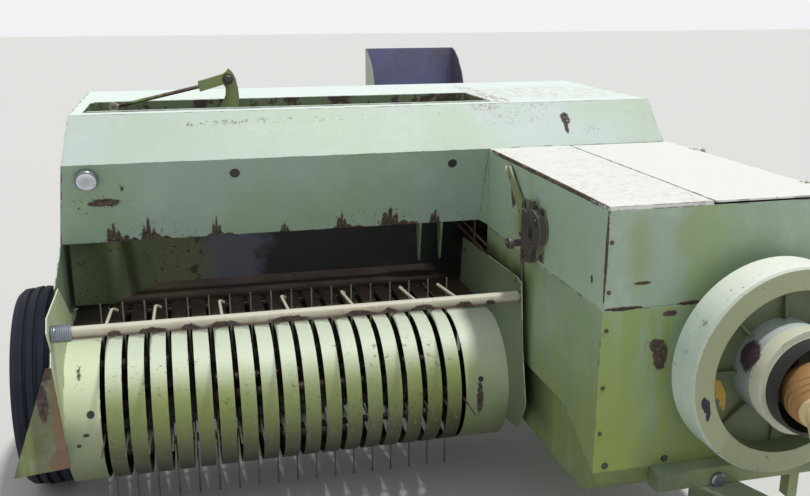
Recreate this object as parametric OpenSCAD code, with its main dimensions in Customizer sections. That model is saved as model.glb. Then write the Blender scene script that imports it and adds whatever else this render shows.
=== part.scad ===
// Square baler with a side pickup, a cross feeder, a bale chamber and a swinging drawbar.
// Millimetres. -Y is the way it travels, +Z is up, and the ground is z = 0.
// Inside the modules x = 0 is the middle of the bale chamber and y = 0 the crank housing's front.

/* [Frame] */
// Shift from the bale chamber's middle to the middle of the whole machine
chamber_x = 748; // [0:1:1500]
// Shift from the crank housing's front to the middle of the whole machine
front_y = -1071; // [-2500:1:0]

/* [Crank housing] */
// Width of the crank housing
housing_w = 710; // [600:1:760]
// Length of the crank housing
housing_l = 960; // [900:1:960]
// Height of the housing's top
housing_z = 1218; // [1150:1:1240]
// Height of the seam around the housing
seam_z = 928; // [800:1:1050]
// Height of the front panel's lower edge
front_low = 436; // [410:1:480]
// Height of the side panels' lower edge
side_low = 555; // [500:1:575]
// Thickness of the housing panels
panel_t = 5; // [3:0.5:6]
// Where the two top panels meet
top_seam_x = -42; // [-120:1:60]
// Gap around the service lid
lid_gap = 6; // [5:0.5:8]
// Underside of the belly pan
belly_z = 332; // [300:1:360]
// Radius of the belly pan's front corner
belly_r = 110; // [60:1:140]

/* [Flywheel and driveline] */
// Sideways place of the flywheel shaft
fly_x = 127; // [60:1:150]
// Height of the flywheel shaft
fly_z = 771; // [740:1:800]
// Outer radius of the flywheel
fly_r = 298; // [260:1:305]
// Inner radius of the flywheel's rim
fly_in_r = 234; // [200:1:250]
// Width of the flywheel's rim
fly_rim_w = 115; // [90:1:120]
// Gap between the housing front and the flywheel
fly_gap = 61; // [57:1:80]
// Radius of the flywheel shaft
fly_shaft_r = 30; // [24:0.5:36]
// Running clearance between a shaft and its bore
run_gap = 0.06; // [0.02:0.01:0.1]
// Forward place of the universal joint
joint_y = 265; // [262:1:300]
// Downward slope of the driveline as parked
drive_pitch = 13; // [8:0.5:16]
// Length of the driveline
drive_l = 1010; // [900:1:1100]
// Radius of the driveline's guard tube
drive_r = 38; // [30:0.5:42]
// Bore radius of the driveline's front yoke
yoke_bore_r = 17.5; // [15:0.5:22]

/* [Drawbar] */
// How far the drawbar is swung to the right as parked
park_swing = 28; // [10:1:30]
// Distance from the swing pin to the hitch pin
hitch_l = 1290; // [1150:1:1400]
// Radius of the hitch pin's hole
hitch_r = 16.5; // [12:0.5:20]
// Thickness of the hitch plate
hitch_t = 30; // [20:1:36]
// Underside of the drawbar
bar_z = 296; // [292:1:298]
// Underside of the front beam
beam_z = 378; // [374:1:384]
// Height of the drawbar's section
bar_h = 62; // [56:1:62]
// Width of the drawbar's section
bar_w = 90; // [70:1:100]
// Radius of the swing pin
swing_r = 20; // [16:0.5:24]
// Distance from the swing pin to the jack
jack_l = 950; // [900:1:1050]

/* [Wheels and axle] */
// Outer radius of a tyre
tyre_r = 364; // [340:1:370]
// Width of a tyre
tyre_w = 180; // [160:1:182]
// Radius of a wheel rim
rim_r = 203; // [190:1:210]
// Gap between the pickup and the right tyre
right_gap = 22; // [20:1:40]
// Gap between the housing and the left tyre
left_gap = 20; // [18:1:30]
// Place of the wheels along the machine
wheel_y = 1201; // [1190:1:1210]
// Radius of a stub axle
stub_r = 20; // [16:0.5:24]
// Middle of the axle beam along the machine
beam_y = 1300; // [1290:1:1320]

/* [Feeder housing] */
// Outer left end of the feeder housing
feed_x0 = -1803; // [-1820:1:-1780]
// How far the feeder's inner end stays inside the housing's side
feed_inset = 13; // [8:1:30]
// Height of the feeder housing's top
feed_top = 1363; // [1330:1:1380]
// Front edge of the feeder housing's top
feed_y0 = 1107; // [1090:1:1130]
// Rear edge of the feeder housing's top
feed_y1 = 1912; // [1850:1:1920]
// Lower edge of the front panel
feed_low_z = 930; // [900:1:960]
// Place of the front panel's lower edge
feed_low_y = 1057; // [1040:1:1070]
// Height of the deck
deck_z = 640; // [636:1:650]
// Rear wall of the throat
throat_y = 1484; // [1470:1:1520]
// Thickness of the feeder sheets
sheet_t = 4; // [3:0.5:5]
// Lean of the outer end plate
end_lean = 7.8; // [6:0.1:7.9]
// Front edge of the slot in the feeder top
slot_y0 = 1177; // [1150:1:1200]
// Rear edge of the slot in the feeder top
slot_y1 = 1470; // [1462:1:1480]
// Outer left end of the slot in the feeder top
slot_x0 = -1760; // [-1780:1:-1740]
// Inner right end of the slot in the feeder top
slot_x1 = -290; // [-400:1:-200]
// Radius of the work lamp
lamp_r = 35; // [25:1:45]

/* [Bale chamber] */
// Inner half width of the bale chamber
bale_half = 230; // [220:1:232]
// Height of the chamber floor
floor_z = 591; // [588:1:595]
// Height of the chamber roof
roof_z = 951; // [940:1:956]
// Rear end of the chamber
chamber_end = 3540; // [3500:1:3545]
// Thickness of the chamber plates
plate_t = 6; // [4:0.5:6]
// Distance from the housing's rear to the feed opening
mouth_gap = 110; // [105:1:130]
// Length of the feed opening
mouth_l = 400; // [370:1:405]
// Radius of the needles about the yoke's pivot
needle_r = 480; // [470:1:485]
// Place of the needle yoke's pivot
yoke_y = 1640; // [1635:1:1645]
// Height of the needle yoke's pivot
yoke_z = 700; // [697:1:703]
// Sideways place of each needle
needle_x = 100; // [80:1:120]
// Place of the measuring wheel
star_y = 2700; // [2680:1:2750]
// Radius of the measuring wheel
star_r = 150; // [130:1:160]
// Width of the bale chute
chute_w = 570; // [566:1:600]
// Height of the folded chute's top
chute_top = 1430; // [1300:1:1440]

/* [Twine box] */
// Front wall of the twine box
twine_y = 1925; // [1918:1:1960]
// Length of the twine box
twine_l = 700; // [500:1:720]
// Inner side of the twine box
twine_x = 312; // [306:1:330]
// Width of the twine box
twine_w = 240; // [200:1:242]
// Height of the twine box's rim
twine_z = 1000; // [900:1:1020]

/* [Feeder drive] */
// Sideways place of the rocker's pivot
rock_x = -1262; // [-1280:1:-1240]
// Height of the rocker's pivot
rock_z = 1250; // [1240:1:1260]
// Sideways place of the link's pin
link_x = -1252; // [-1260:1:-1240]
// Height of the link's pin
link_z = 1448; // [1430:1:1460]

/* [Pickup] */
// Place of the pickup reel's axis
reel_y = 857; // [850:1:860]
// Height of the pickup reel's axis
reel_z = 405; // [400:1:410]
// Outer radius of the bands
band_r = 236; // [225:1:240]
// Spacing of the bands
band_pitch = 70; // [66:0.5:70]
// Width of a band
band_w = 51; // [45:1:52]
// Thickness of the bands
band_t = 4; // [3:0.5:5]
// Number of bands
band_n = 17; // [15:1:17]
// Middle of the first band
band_x0 = -1696; // [-1700:1:-1690]
// Outer face of the left end plate
pick_x0 = -1850; // [-1850:1:-1846]
// Gap between the housing and the pickup's inner end plate
pick_gap = 20; // [18:1:24]
// Radius that the tine tips run on
tine_r = 370; // [350:1:372]
// Radius of a tine's wire
wire_r = 3; // [2.5:0.5:4]
// Radius of the tine bars' circle
tine_bar_r = 150; // [130:1:160]
// Place of the pickup's lift pivot
lift_y = 1200; // [1198:1:1202]
// Height of the pickup's lift pivot
lift_z = 615; // [612:1:617]
// Radius of the lift tube
lift_r = 14; // [12:0.5:15]
// Place of the wind guard's tube
guard_y = 551; // [548:1:556]
// Height of the wind guard's tube
guard_z = 791; // [786:1:795]
// Radius of the wind guard's tube
guard_r = 19; // [15:0.5:22]

/* [Hidden] */
$fn = 96;
half_w = housing_w / 2;
wall_z = housing_z - panel_t - lid_gap;
bar_top = bar_z + bar_h;
pick_x1 = -half_w - pick_gap;
feed_x1 = half_w - feed_inset;
wheel_right_x = pick_x0 - right_gap - tyre_w / 2;
wheel_left_x = half_w + left_gap + tyre_w / 2;
mouth_y0 = housing_l + mouth_gap;
mouth_y1 = mouth_y0 + mouth_l;
hinge_y = [150, housing_l - 190];
end_x = feed_x0 - (feed_top - feed_low_z) * tan(end_lean) + sheet_t + 1;
tongue_gap = 6;
seat_gap = 0.3;
// Radius of the bars that carry the tines
tine_tube_r = 12;

// Place along the machine of the lower front panel at a height
function low_y(z) = housing_l + 1
    + (housing_z - z) / (housing_z - feed_low_z) * (feed_low_y - housing_l - 1);

module in_frame() {
    translate([chamber_x, front_y, 0]) children();
}

// A plate whose outline is in y and z, from x0 towards +x
module yz_plate(x0, t, pts) {
    translate([x0, 0, 0]) rotate([90, 0, 90]) linear_extrude(t) polygon(pts);
}

// A plate whose outline is in x and z, from y0 towards +y
module xz_plate(y0, t, pts) {
    translate([0, y0 + t, 0]) rotate([90, 0, 0]) linear_extrude(t) polygon(pts);
}

// A box between two corners
module block(a, b) {
    translate(a) cube(b - a);
}

// A round bar along x
module bar_x(x0, x1, y, z, r) {
    translate([x0, y, z]) rotate([0, 90, 0]) cylinder(r = r, h = x1 - x0);
}

// A round bar along y
module bar_y(y0, y1, x, z, r) {
    translate([x, y0, z]) rotate([-90, 0, 0]) cylinder(r = r, h = y1 - y0);
}

// A round rod between two points
module rod(p, q, r) {
    d = q - p;
    len = norm(d);
    translate(p) rotate([0, acos(d[2] / len), atan2(d[1], d[0])]) cylinder(r = r, h = len);
}

// Crank housing

module housing_front() {
    color([0.55, 0.66, 0.52]) in_frame() difference() {
        block([-half_w, 0, front_low], [half_w, panel_t, wall_z]);
        block([-half_w - 1, -1, seam_z - 2], [half_w + 1, 2, seam_z + 2]);
        bar_y(-1, panel_t + 1, fly_x, fly_z, 62);
    }
}

module housing_side(side) {
    pts = [[panel_t, front_low], [210, side_low], [housing_l, side_low],
        [housing_l, wall_z], [panel_t, wall_z]];
    x0 = side > 0 ? half_w - panel_t : -half_w;
    groove = side > 0 ? half_w - 2 : -half_w - 1;
    difference() {
        yz_plate(x0, panel_t, pts);
        block([groove, 0, seam_z - 2], [groove + 3, housing_l + 1, seam_z + 2]);
    }
}

module housing_side_right() {
    color([0.5, 0.62, 0.5]) in_frame() housing_side(-1);
}

module housing_side_left() {
    color([0.5, 0.62, 0.5]) in_frame() {
        housing_side(1);
        for (y = hinge_y) {
            block([half_w - 1, y, housing_z - 60], [half_w + 22, y + 20, housing_z - 4]);
            bar_y(y - 34, y + 20, half_w + 15, housing_z - 4, 6);
        }
    }
}

module housing_rear() {
    color([0.5, 0.62, 0.5]) in_frame() difference() {
        block([-half_w + panel_t, housing_l - panel_t, side_low],
            [half_w - panel_t, housing_l, wall_z]);
        block([-bale_half - plate_t - 1, housing_l - panel_t - 1, side_low - 1],
            [bale_half + plate_t + 1, housing_l + 1, roof_z + plate_t + 1]);
    }
}

module housing_top() {
    color([0.86, 0.88, 0.84]) in_frame() {
        block([-half_w, 0, housing_z - panel_t], [top_seam_x - 3, housing_l, housing_z]);
        block([-half_w, 0, wall_z], [top_seam_x - 3, panel_t, housing_z - panel_t]);
        block([-half_w, housing_l - panel_t, wall_z],
            [top_seam_x - 3, housing_l, housing_z - panel_t]);
        block([-half_w, 0, wall_z], [-half_w + panel_t, housing_l, housing_z - panel_t]);
        block([top_seam_x - 3 - panel_t, 0, wall_z],
            [top_seam_x - 3, housing_l, housing_z - panel_t]);
        block([top_seam_x - 3 - panel_t, panel_t, wall_z - 30],
            [top_seam_x - 3, housing_l - panel_t, wall_z]);
    }
}

module service_lid() {
    color([0.86, 0.88, 0.84]) in_frame() difference() {
        union() {
            block([top_seam_x + 3, 0, housing_z - panel_t], [half_w + 4, housing_l - 6, housing_z]);
            for (y = hinge_y) {
                bar_y(y - 34, y - 6, half_w + 15, housing_z - 4, 12);
                block([half_w, y - 34, housing_z - panel_t], [half_w + 15, y - 6, housing_z]);
            }
        }
        for (y = hinge_y) {
            bar_y(y - 35, y - 5, half_w + 15, housing_z - 4, 6 + run_gap);
            block([half_w - 8, y - 6, housing_z - panel_t - 1],
                [half_w + 5, y + 26, housing_z + 1]);
        }
    }
}

module housing_belly() {
    y0 = panel_t;
    y1 = housing_l - 6;
    r = belly_r;
    color([0.42, 0.52, 0.36]) in_frame() difference() {
        union() {
            block([-half_w + 12, y0 + r, belly_z], [half_w - 12, y1, floor_z - plate_t]);
            block([-half_w + 12, y0, belly_z + r], [half_w - 12, y0 + r, floor_z - plate_t]);
            bar_x(-half_w + 12, half_w - 12, y0 + r, belly_z + r, r);
        }
        block([-half_w + 16, y0 + r, belly_z + 4], [half_w - 16, y1 - 4, floor_z]);
        block([-half_w + 16, y0 + 4, belly_z + r], [half_w - 16, y0 + r + 1, floor_z]);
        bar_x(-half_w + 16, half_w - 16, y0 + r, belly_z + r, r - 4);
    }
}

module gearbox() {
    color([0.3, 0.34, 0.28]) in_frame() difference() {
        block([fly_x - 140, panel_t, floor_z - plate_t], [fly_x + 140, 330, 980]);
        bar_y(0, 262, fly_x, fly_z, fly_shaft_r + run_gap);
        bar_y(0, 20, fly_x, fly_z, 62);
    }
}

module plunger() {
    color([0.35, 0.33, 0.3]) in_frame() {
        block([-bale_half + 8, 560, floor_z], [bale_half - 8, 1045, roof_z - 8]);
    }
}

module front_underframe() {
    low = bar_z - tongue_gap - 14;
    neck = [[-40, -8], [75, -8], [fly_x + 48, -joint_y], [fly_x - 48, -joint_y]];
    color([0.4, 0.5, 0.36]) in_frame() {
        block([fly_x - 302, -50, beam_z], [half_w, panel_t - seat_gap, front_low - seat_gap]);
        block([268, -44, bar_z], [300, -6, beam_z]);
        block([-40, -14, low], [75, 0, beam_z]);
        for (z = [low, bar_top + tongue_gap]) {
            translate([0, 0, z]) linear_extrude(14) union() {
                polygon(neck);
                translate([fly_x, -joint_y]) circle(r = 50);
            }
        }
        translate([fly_x, -joint_y, low - 10]) cylinder(r = swing_r, h = bar_h + 60);
        translate([fly_x, -joint_y, low - 10]) cylinder(r = swing_r + 8, h = 11);
    }
}

// Flywheel and driveline

module flywheel() {
    z0 = fly_gap;
    z1 = fly_gap + fly_rim_w;
    color([0.75, 0.8, 0.72]) in_frame() translate([fly_x, 0, fly_z]) rotate([90, 0, 0]) {
        rotate_extrude() polygon([[0, -250], [fly_shaft_r, -250], [fly_shaft_r, z0 + 19],
            [fly_in_r, z0 + 19], [fly_in_r, z0], [fly_r - 6, z0], [fly_r, z0 + 6],
            [fly_r, z1 - 6], [fly_r - 6, z1], [fly_in_r, z1], [fly_in_r, z0 + 49], [0, z0 + 49]]);
    }
}

module flywheel_drum() {
    z = fly_gap + 49;
    color([0.7, 0.75, 0.72]) in_frame() translate([fly_x, 0, fly_z]) rotate([90, 0, 0]) {
        rotate_extrude() polygon([[122, z], [138, z], [138, 150], [148, 243], [130, 243],
            [130, joint_y + 20], [122, joint_y + 20]]);
    }
}

module drive_stub() {
    z = fly_gap + 49;
    color([0.3, 0.3, 0.3]) in_frame() translate([fly_x, 0, fly_z]) rotate([90, 0, 0]) {
        rotate_extrude() polygon([[0, z], [60, z], [60, z + 14], [30, z + 26], [30, 205],
            [22, 215], [22, joint_y - 34], [0, joint_y - 34]]);
    }
}

module swung() {
    in_frame() translate([fly_x, -joint_y, 0]) rotate([0, 0, -park_swing]) children();
}

module driven() {
    swung() translate([0, 0, fly_z]) rotate([drive_pitch, 0, 0]) rotate([90, 0, 0]) children();
}

module driveline() {
    color([0.85, 0.78, 0.55]) driven() difference() {
        union() {
            rotate_extrude() polygon([[0, 42], [34, 42], [40, 62], [58, 52], [74, 32], [80, 14],
                [88, 14], [89, 24], [84, 46], [72, 74], [56, 102], [50, 118],
                [drive_r, 122], [drive_r, drive_l - 250], [drive_r - 7, drive_l - 248],
                [drive_r - 7, drive_l - 120], [50, drive_l - 112], [62, drive_l - 60],
                [56, drive_l - 55], [28, drive_l - 60], [28, drive_l], [0, drive_l]]);
            bar_x(-36, 36, 0, 0, 11);
            for (x = [-36, 24]) {
                bar_x(x, x + 12, 0, 0, 16);
                block([x, -16, 0], [x + 12, 16, 50]);
            }
        }
        translate([0, 0, drive_l - 60]) cylinder(r = yoke_bore_r, h = 61);
    }
}

module drawbar() {
    y_end = -hitch_l + 120;
    color([0.42, 0.5, 0.34]) swung() difference() {
        union() {
            translate([0, 0, bar_z]) cylinder(r = 48, h = bar_h);
            block([-bar_w / 2, y_end, bar_z], [bar_w / 2, -20, bar_top]);
            block([-50, -hitch_l, bar_z + 16], [50, y_end + 40, bar_z + 16 + hitch_t]);
            translate([0, -hitch_l, bar_z + 16]) cylinder(r = 50, h = hitch_t);
        }
        translate([0, 0, bar_z - 1]) cylinder(r = swing_r + run_gap, h = bar_h + 2);
        translate([0, -hitch_l, bar_z]) cylinder(r = hitch_r, h = bar_h);
        block([-bar_w / 2 + 8, y_end + 50, bar_z + 8], [bar_w / 2 - 8, -70, bar_top - 8]);
    }
}

module drawbar_stand() {
    cy = -690;
    cz = fly_z - 702 * tan(drive_pitch) - drive_r / cos(drive_pitch) - 0.3;
    color([0.42, 0.5, 0.34]) swung() {
        block([-20, cy - 6, bar_top], [20, cy + 6, cz - 12]);
        block([-drive_r - 16, cy - 10, cz - 12], [drive_r + 16, cy + 10, cz]);
        for (s = [-1, 1]) {
            block([s * (drive_r + 13) - 3, cy - 10, cz], [s * (drive_r + 13) + 3, cy + 10, cz + 45]);
        }
    }
}

module jack() {
    jx = bar_w / 2 + 62;
    color([0.4, 0.4, 0.38]) swung() {
        block([bar_w / 2, -jack_l - 40, bar_z + 6], [jx, -jack_l + 40, bar_top - 6]);
        translate([jx, -jack_l, 120]) cylinder(r = 30, h = 500);
        translate([jx, -jack_l, 8]) cylinder(r = 24, h = 130);
        translate([jx, -jack_l, 0]) cylinder(r = 75, h = 10);
        translate([jx, -jack_l, 618]) cylinder(r = 10, h = 30);
        rod([jx, -jack_l, 640], [jx + 120, -jack_l, 640], 7);
        rod([jx + 120, -jack_l, 640], [jx + 120, -jack_l, 700], 9);
    }
}

// Wheels and axle

module at_wheel(x) {
    in_frame() translate([x, wheel_y, tyre_r]) rotate([0, 90, 0]) children();
}

module tyre(x) {
    h = tyre_w / 2;
    b = rim_r + 0.3;
    f = rim_r + 10.5;
    color([0.13, 0.14, 0.16]) at_wheel(x) rotate_extrude() polygon([[b, -57.7], [f, -57.7],
        [f + 4, -60], [240, -h + 8], [300, -h], [342, -h + 8], [tyre_r - 7, -h + 26], [tyre_r - 5, -42],
        [tyre_r - 17, -40], [tyre_r - 17, -30], [tyre_r - 3, -28], [tyre_r, -8],
        [tyre_r - 13, -6], [tyre_r - 13, 6], [tyre_r, 8], [tyre_r - 3, 28],
        [tyre_r - 17, 30], [tyre_r - 17, 40], [tyre_r - 5, 42], [tyre_r - 7, h - 26],
        [342, h - 8], [300, h], [240, h - 8], [f + 4, 60], [f, 57.7], [b, 57.7], [b, 36], [238, 60], [300, 70],
        [328, 62], [336, 40], [340, 0], [336, -40], [328, -62], [300, -70], [238, -60],
        [b, -36]]);
}

module wheel_rim(x) {
    color([0.62, 0.66, 0.58]) at_wheel(x) rotate_extrude() polygon([
        [stub_r + run_gap, -50], [52, -50], [56, -4], [rim_r - 8, -4], [rim_r - 8, -60],
        [rim_r + 10, -60], [rim_r + 10, -58], [rim_r, -58], [rim_r, 58], [rim_r + 10, 58],
        [rim_r + 10, 60], [rim_r - 8, 60], [rim_r - 8, 4], [56, 4], [52, 50],
        [stub_r + run_gap, 50]]);
}

module wheel_right_tyre() { tyre(wheel_right_x); }
module wheel_left_tyre() { tyre(wheel_left_x); }
module wheel_right_rim() { wheel_rim(wheel_right_x); }
module wheel_left_rim() { wheel_rim(wheel_left_x); }

module axle() {
    arm = [[wheel_y - 45, tyre_r - 35], [wheel_y + 45, tyre_r - 45], [beam_y + 50, 395],
        [beam_y + 50, 495], [beam_y - 45, 495], [wheel_y - 45, tyre_r + 40]];
    xr = wheel_right_x;
    xl = wheel_left_x;
    color([0.38, 0.46, 0.34]) in_frame() {
        block([xr + 104, beam_y - 45, 400], [xl - 106, beam_y + 45, 490]);
        yz_plate(xr + 98, 14, arm);
        yz_plate(xl - 112, 14, arm);
        bar_x(xr - 60, xr + 100, wheel_y, tyre_r, stub_r);
        bar_x(xr - 64, xr - 56, wheel_y, tyre_r, 34);
        bar_x(xl - 100, xl + 60, wheel_y, tyre_r, stub_r);
        bar_x(xl + 56, xl + 64, wheel_y, tyre_r, 34);
        for (x = [-bale_half, bale_half - 46]) {
            block([x, beam_y - 45, 489], [x + 46, beam_y + 45, floor_z - plate_t - 25]);
        }
    }
}

// Feeder housing

// Space beyond the inner face of the leaning end plate
module beyond_end() {
    translate([feed_x0 + sheet_t / cos(end_lean), 0, feed_top]) rotate([0, end_lean, 0])
        translate([-400, 0, -1200]) cube([400, 3000, 1500]);
}

module feeder_front() {
    t = sheet_t;
    low = [[housing_l + 1, housing_z], [feed_low_y, feed_low_z], [feed_low_y + t, feed_low_z + 2],
        [housing_l + 1 + t, housing_z]];
    up = [[housing_l + 1, housing_z], [feed_y0, feed_top], [feed_y0 + t, feed_top - t],
        [housing_l + 1 + t + 1, housing_z]];
    n = atan2(feed_low_y - housing_l - 1, housing_z - feed_low_z);
    color([0.62, 0.72, 0.6]) in_frame() difference() {
        union() {
            yz_plate(feed_x0 - 60, -feed_x0 + 60 + feed_x1, up);
            yz_plate(feed_x0 - 60, -feed_x0 + 60 - half_w - 1, low);
        }
        beyond_end();
        block([end_x - 60, feed_low_y - 20, feed_low_z - 5], [end_x, feed_low_y + 20, feed_low_z + 4]);
        for (x = [-1266, -489]) {
            translate([x, low_y(1167), 1167]) rotate([90 + n, 0, 0]) cylinder(r = 16, h = 60, center = true);
        }
    }
}

module lamp() {
    n = atan2(feed_low_y - housing_l - 1, housing_z - feed_low_z);
    color([0.85, 0.86, 0.85]) in_frame() translate([-1748, low_y(1170), 1170]) rotate([90 + n, 0, 0]) {
        cylinder(r = lamp_r, h = 16);
        translate([0, 0, 14]) cylinder(r = lamp_r - 4, h = 8);
    }
}

module feeder_top() {
    t = sheet_t;
    color([0.84, 0.86, 0.8]) in_frame() difference() {
        union() {
            block([feed_x0 - 10, feed_y0 + t, feed_top - t], [feed_x1, feed_y1, feed_top]);
            block([slot_x0 - t, slot_y0 - t, feed_top - 60], [slot_x1 + t, slot_y1 + t, feed_top - t]);
        }
        block([slot_x0, slot_y0, feed_top - 61], [slot_x1, slot_y1, feed_top + 1]);
        beyond_end();
    }
}

module feeder_end() {
    up_z = feed_low_z - 6;
    upper = [[housing_l, housing_z], [feed_y0, feed_top], [feed_y1, feed_top], [feed_y1, 1200],
        [throat_y + sheet_t, 1000], [throat_y + sheet_t, up_z], [feed_low_y, up_z],
        [feed_low_y, feed_low_z]];
    lower = [[feed_low_y, feed_low_z + 4], [throat_y + sheet_t, feed_low_z + 4],
        [throat_y + sheet_t, lift_z - 30], [1150, lift_z - 30], [feed_low_y, deck_z],
        [880, 740], [801, 853]];
    color([0.6, 0.7, 0.58]) in_frame() difference() {
        union() {
            translate([feed_x0, 0, feed_top]) rotate([0, end_lean, 0])
                translate([0, 0, -feed_top]) yz_plate(0, sheet_t, upper);
            yz_plate(end_x - sheet_t, sheet_t, lower);
        }
        bar_x(end_x - 20, end_x + 20, lift_y, lift_z, lift_r + run_gap);
    }
}

module feeder_inner_end() {
    body = [[housing_l + 6, housing_z], [feed_y0 + 4, feed_top - 4], [feed_y1, feed_top - 4],
        [feed_y1, roof_z + plate_t], [housing_l + 6, roof_z + plate_t]];
    color([0.6, 0.7, 0.58]) in_frame() yz_plate(feed_x1 - sheet_t, sheet_t, body);
}

module feeder_rear() {
    t = sheet_t;
    z0 = roof_z + plate_t;
    up = [[feed_y1 - t, feed_top - t], [feed_y1 - t, 1202], [throat_y, 1002], [throat_y, z0],
        [throat_y + t, z0], [throat_y + t, 1000], [feed_y1, 1200], [feed_y1, feed_top - t]];
    color([0.5, 0.6, 0.48]) in_frame() difference() {
        union() {
            yz_plate(feed_x0 - 60, -feed_x0 + 60 + feed_x1 - t, up);
            block([end_x, throat_y, deck_z - 30], [-bale_half - plate_t, throat_y + t, z0 + 1]);
        }
        beyond_end();
        block([end_x - 100, throat_y - 1, 900], [end_x, throat_y + t + 1, 960]);
    }
}

module feeder_deck() {
    t = sheet_t;
    color([0.3, 0.27, 0.22]) in_frame() difference() {
        union() {
            block([end_x, 1242, deck_z - t], [-bale_half - plate_t, throat_y, deck_z]);
            block([pick_x1 + 6, lift_y - 24, lift_z - 28], [pick_x1 + 14, 1300, deck_z - t]);
            for (x = [-1500, -1000, -500]) {
                block([x, beam_y - 40, 490], [x + 8, beam_y + 40, deck_z - t]);
            }
        }
        bar_x(-1900, -300, lift_y, lift_z, lift_r + run_gap);
    }
}

module throat_wall() {
    color([0.45, 0.5, 0.46]) in_frame() difference() {
        translate([end_x - 4, feed_low_y + 6, deck_z]) rotate([0, 0, 54])
            cube([540, sheet_t, feed_low_z - deck_z - 10]);
        block([end_x - 100, 900, deck_z - 1], [pick_x0 + 12, throat_y + 200, 1300]);
        block([-1900, throat_y, deck_z - 1], [-1000, throat_y + 200, 1300]);
        yz_plate(-1900, 400, [[900, deck_z - 1], [1242, deck_z - 1], [1242, deck_z + 5],
            [900, deck_z + 120]]);
    }
}

module feeder_forks() {
    color([0.35, 0.42, 0.34]) in_frame() {
        bar_x(feed_x0 + 4, feed_x1 - sheet_t, 1300, 1080, 24);
        block([-540, 1262, 1040], [-400, 1338, 1120]);
        for (x = [-534, -446]) {
            yz_plate(x, 10, [[1275, 1045], [1325, 1045], [1325, 850], [1300, 713], [1275, 850]]);
        }
    }
}

// Bale chamber

module chamber_floor() {
    color([0.38, 0.42, 0.36]) in_frame() difference() {
        union() {
            block([-bale_half, 480, floor_z - plate_t], [bale_half, chamber_end, floor_z]);
            for (x = [-bale_half, bale_half - 46]) {
                block([x, housing_l, floor_z - plate_t - 25], [x + 46, chamber_end, floor_z]);
            }
            for (s = [-1, 1]) {
                block([s * 244 - 6, chamber_end - 60, floor_z - 40],
                    [s * 244 + 6, chamber_end + 50, floor_z - plate_t]);
                block([s * 226 - 20, chamber_end - 60, floor_z - 30],
                    [s * 226 + 20, chamber_end - 10, floor_z - plate_t]);
            }
            bar_x(-262, 262, chamber_end + 40, floor_z - 16, 10);
        }
        for (s = [-1, 1]) {
            block([s * needle_x - 15, 2085, floor_z - 60], [s * needle_x + 15, 2130, floor_z + 1]);
        }
    }
}

module chamber_wall(side) {
    x0 = side > 0 ? bale_half : -bale_half - plate_t;
    rx = side > 0 ? bale_half + plate_t - 1 : -bale_half - plate_t - 27;
    z0 = floor_z - plate_t;
    z1 = roof_z + plate_t;
    difference() {
        union() {
            block([x0, housing_l, z0], [x0 + plate_t, chamber_end, z1]);
            for (y = [1940, 2300, 2700, 3040, 3480]) {
                block([rx, y, z0], [rx + 28, y + 8, z1]);
            }
            bar_x(side > 0 ? x0 : x0 - 48, side > 0 ? x0 + 54 : x0 + plate_t, yoke_y, yoke_z, 16);
        }
        if (side < 0) {
            block([x0 - 1, mouth_y0, deck_z + 2], [x0 + plate_t + 1, mouth_y1, roof_z - 30]);
        }
    }
}

module chamber_right() {
    color([0.4, 0.46, 0.4]) in_frame() chamber_wall(-1);
}

module chamber_left() {
    color([0.4, 0.46, 0.4]) in_frame() chamber_wall(1);
}

module chamber_roof() {
    color([0.4, 0.46, 0.4]) in_frame() difference() {
        union() {
            block([-bale_half, housing_l, roof_z], [bale_half, 3000, roof_z + plate_t]);
            for (x = [-bale_half, -25, bale_half - 50]) {
                block([x, 2999, roof_z], [x + 50, chamber_end, roof_z + 20]);
            }
            for (s = [-1, 1]) {
                yz_plate(s * 26 - 3, 6, [[star_y - 70, roof_z + 1], [star_y + 70, roof_z + 1],
                    [star_y + 25, 1080], [star_y - 25, 1080]]);
            }
            bar_x(-30, 30, star_y, 1050, 10);
        }
        for (s = [-1, 1]) {
            block([s * needle_x - 15, 2020, roof_z - 1], [s * needle_x + 15, 2076, roof_z + 30]);
        }
        block([-16, star_y - 130, roof_z - 1], [16, star_y + 130, roof_z + plate_t + 1]);
    }
}

module star_wheel() {
    color([0.5, 0.3, 0.2]) in_frame() translate([-6, star_y, 1050]) rotate([0, 90, 0])
        difference() {
            union() {
                cylinder(r = star_r - 30, h = 12);
                for (i = [0:11]) {
                    rotate([0, 0, i * 30]) linear_extrude(12)
                        polygon([[star_r - 40, -18], [star_r, -3], [star_r, 3], [star_r - 40, 18]]);
                }
            }
            translate([0, 0, -1]) cylinder(r = 10 + run_gap, h = 14);
        }
}

module needle_yoke() {
    r = needle_r;
    a0 = -70;
    a1 = -14;
    color([0.45, 0.42, 0.38]) in_frame() translate([0, yoke_y, yoke_z]) {
        for (s = [-1, 1]) {
            translate([s * needle_x - 6, 0, 0]) rotate([90, 0, 90]) rotate([0, 0, a0])
                rotate_extrude(angle = a1 - a0) translate([r - 9, 0]) square([18, 12]);
            translate([s * 276 - 6, 0, 0]) rotate([90, 0, 90]) rotate([0, 0, a0]) difference() {
                union() {
                    cylinder(r = 34, h = 12);
                    translate([0, -20, 0]) cube([r + 20, 40, 12]);
                }
                translate([0, 0, -1]) cylinder(r = 16 + run_gap, h = 14);
            }
        }
        translate([0, r * cos(a0), r * sin(a0)]) bar_x(-276, 276, 0, 0, 18);
    }
}

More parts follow.
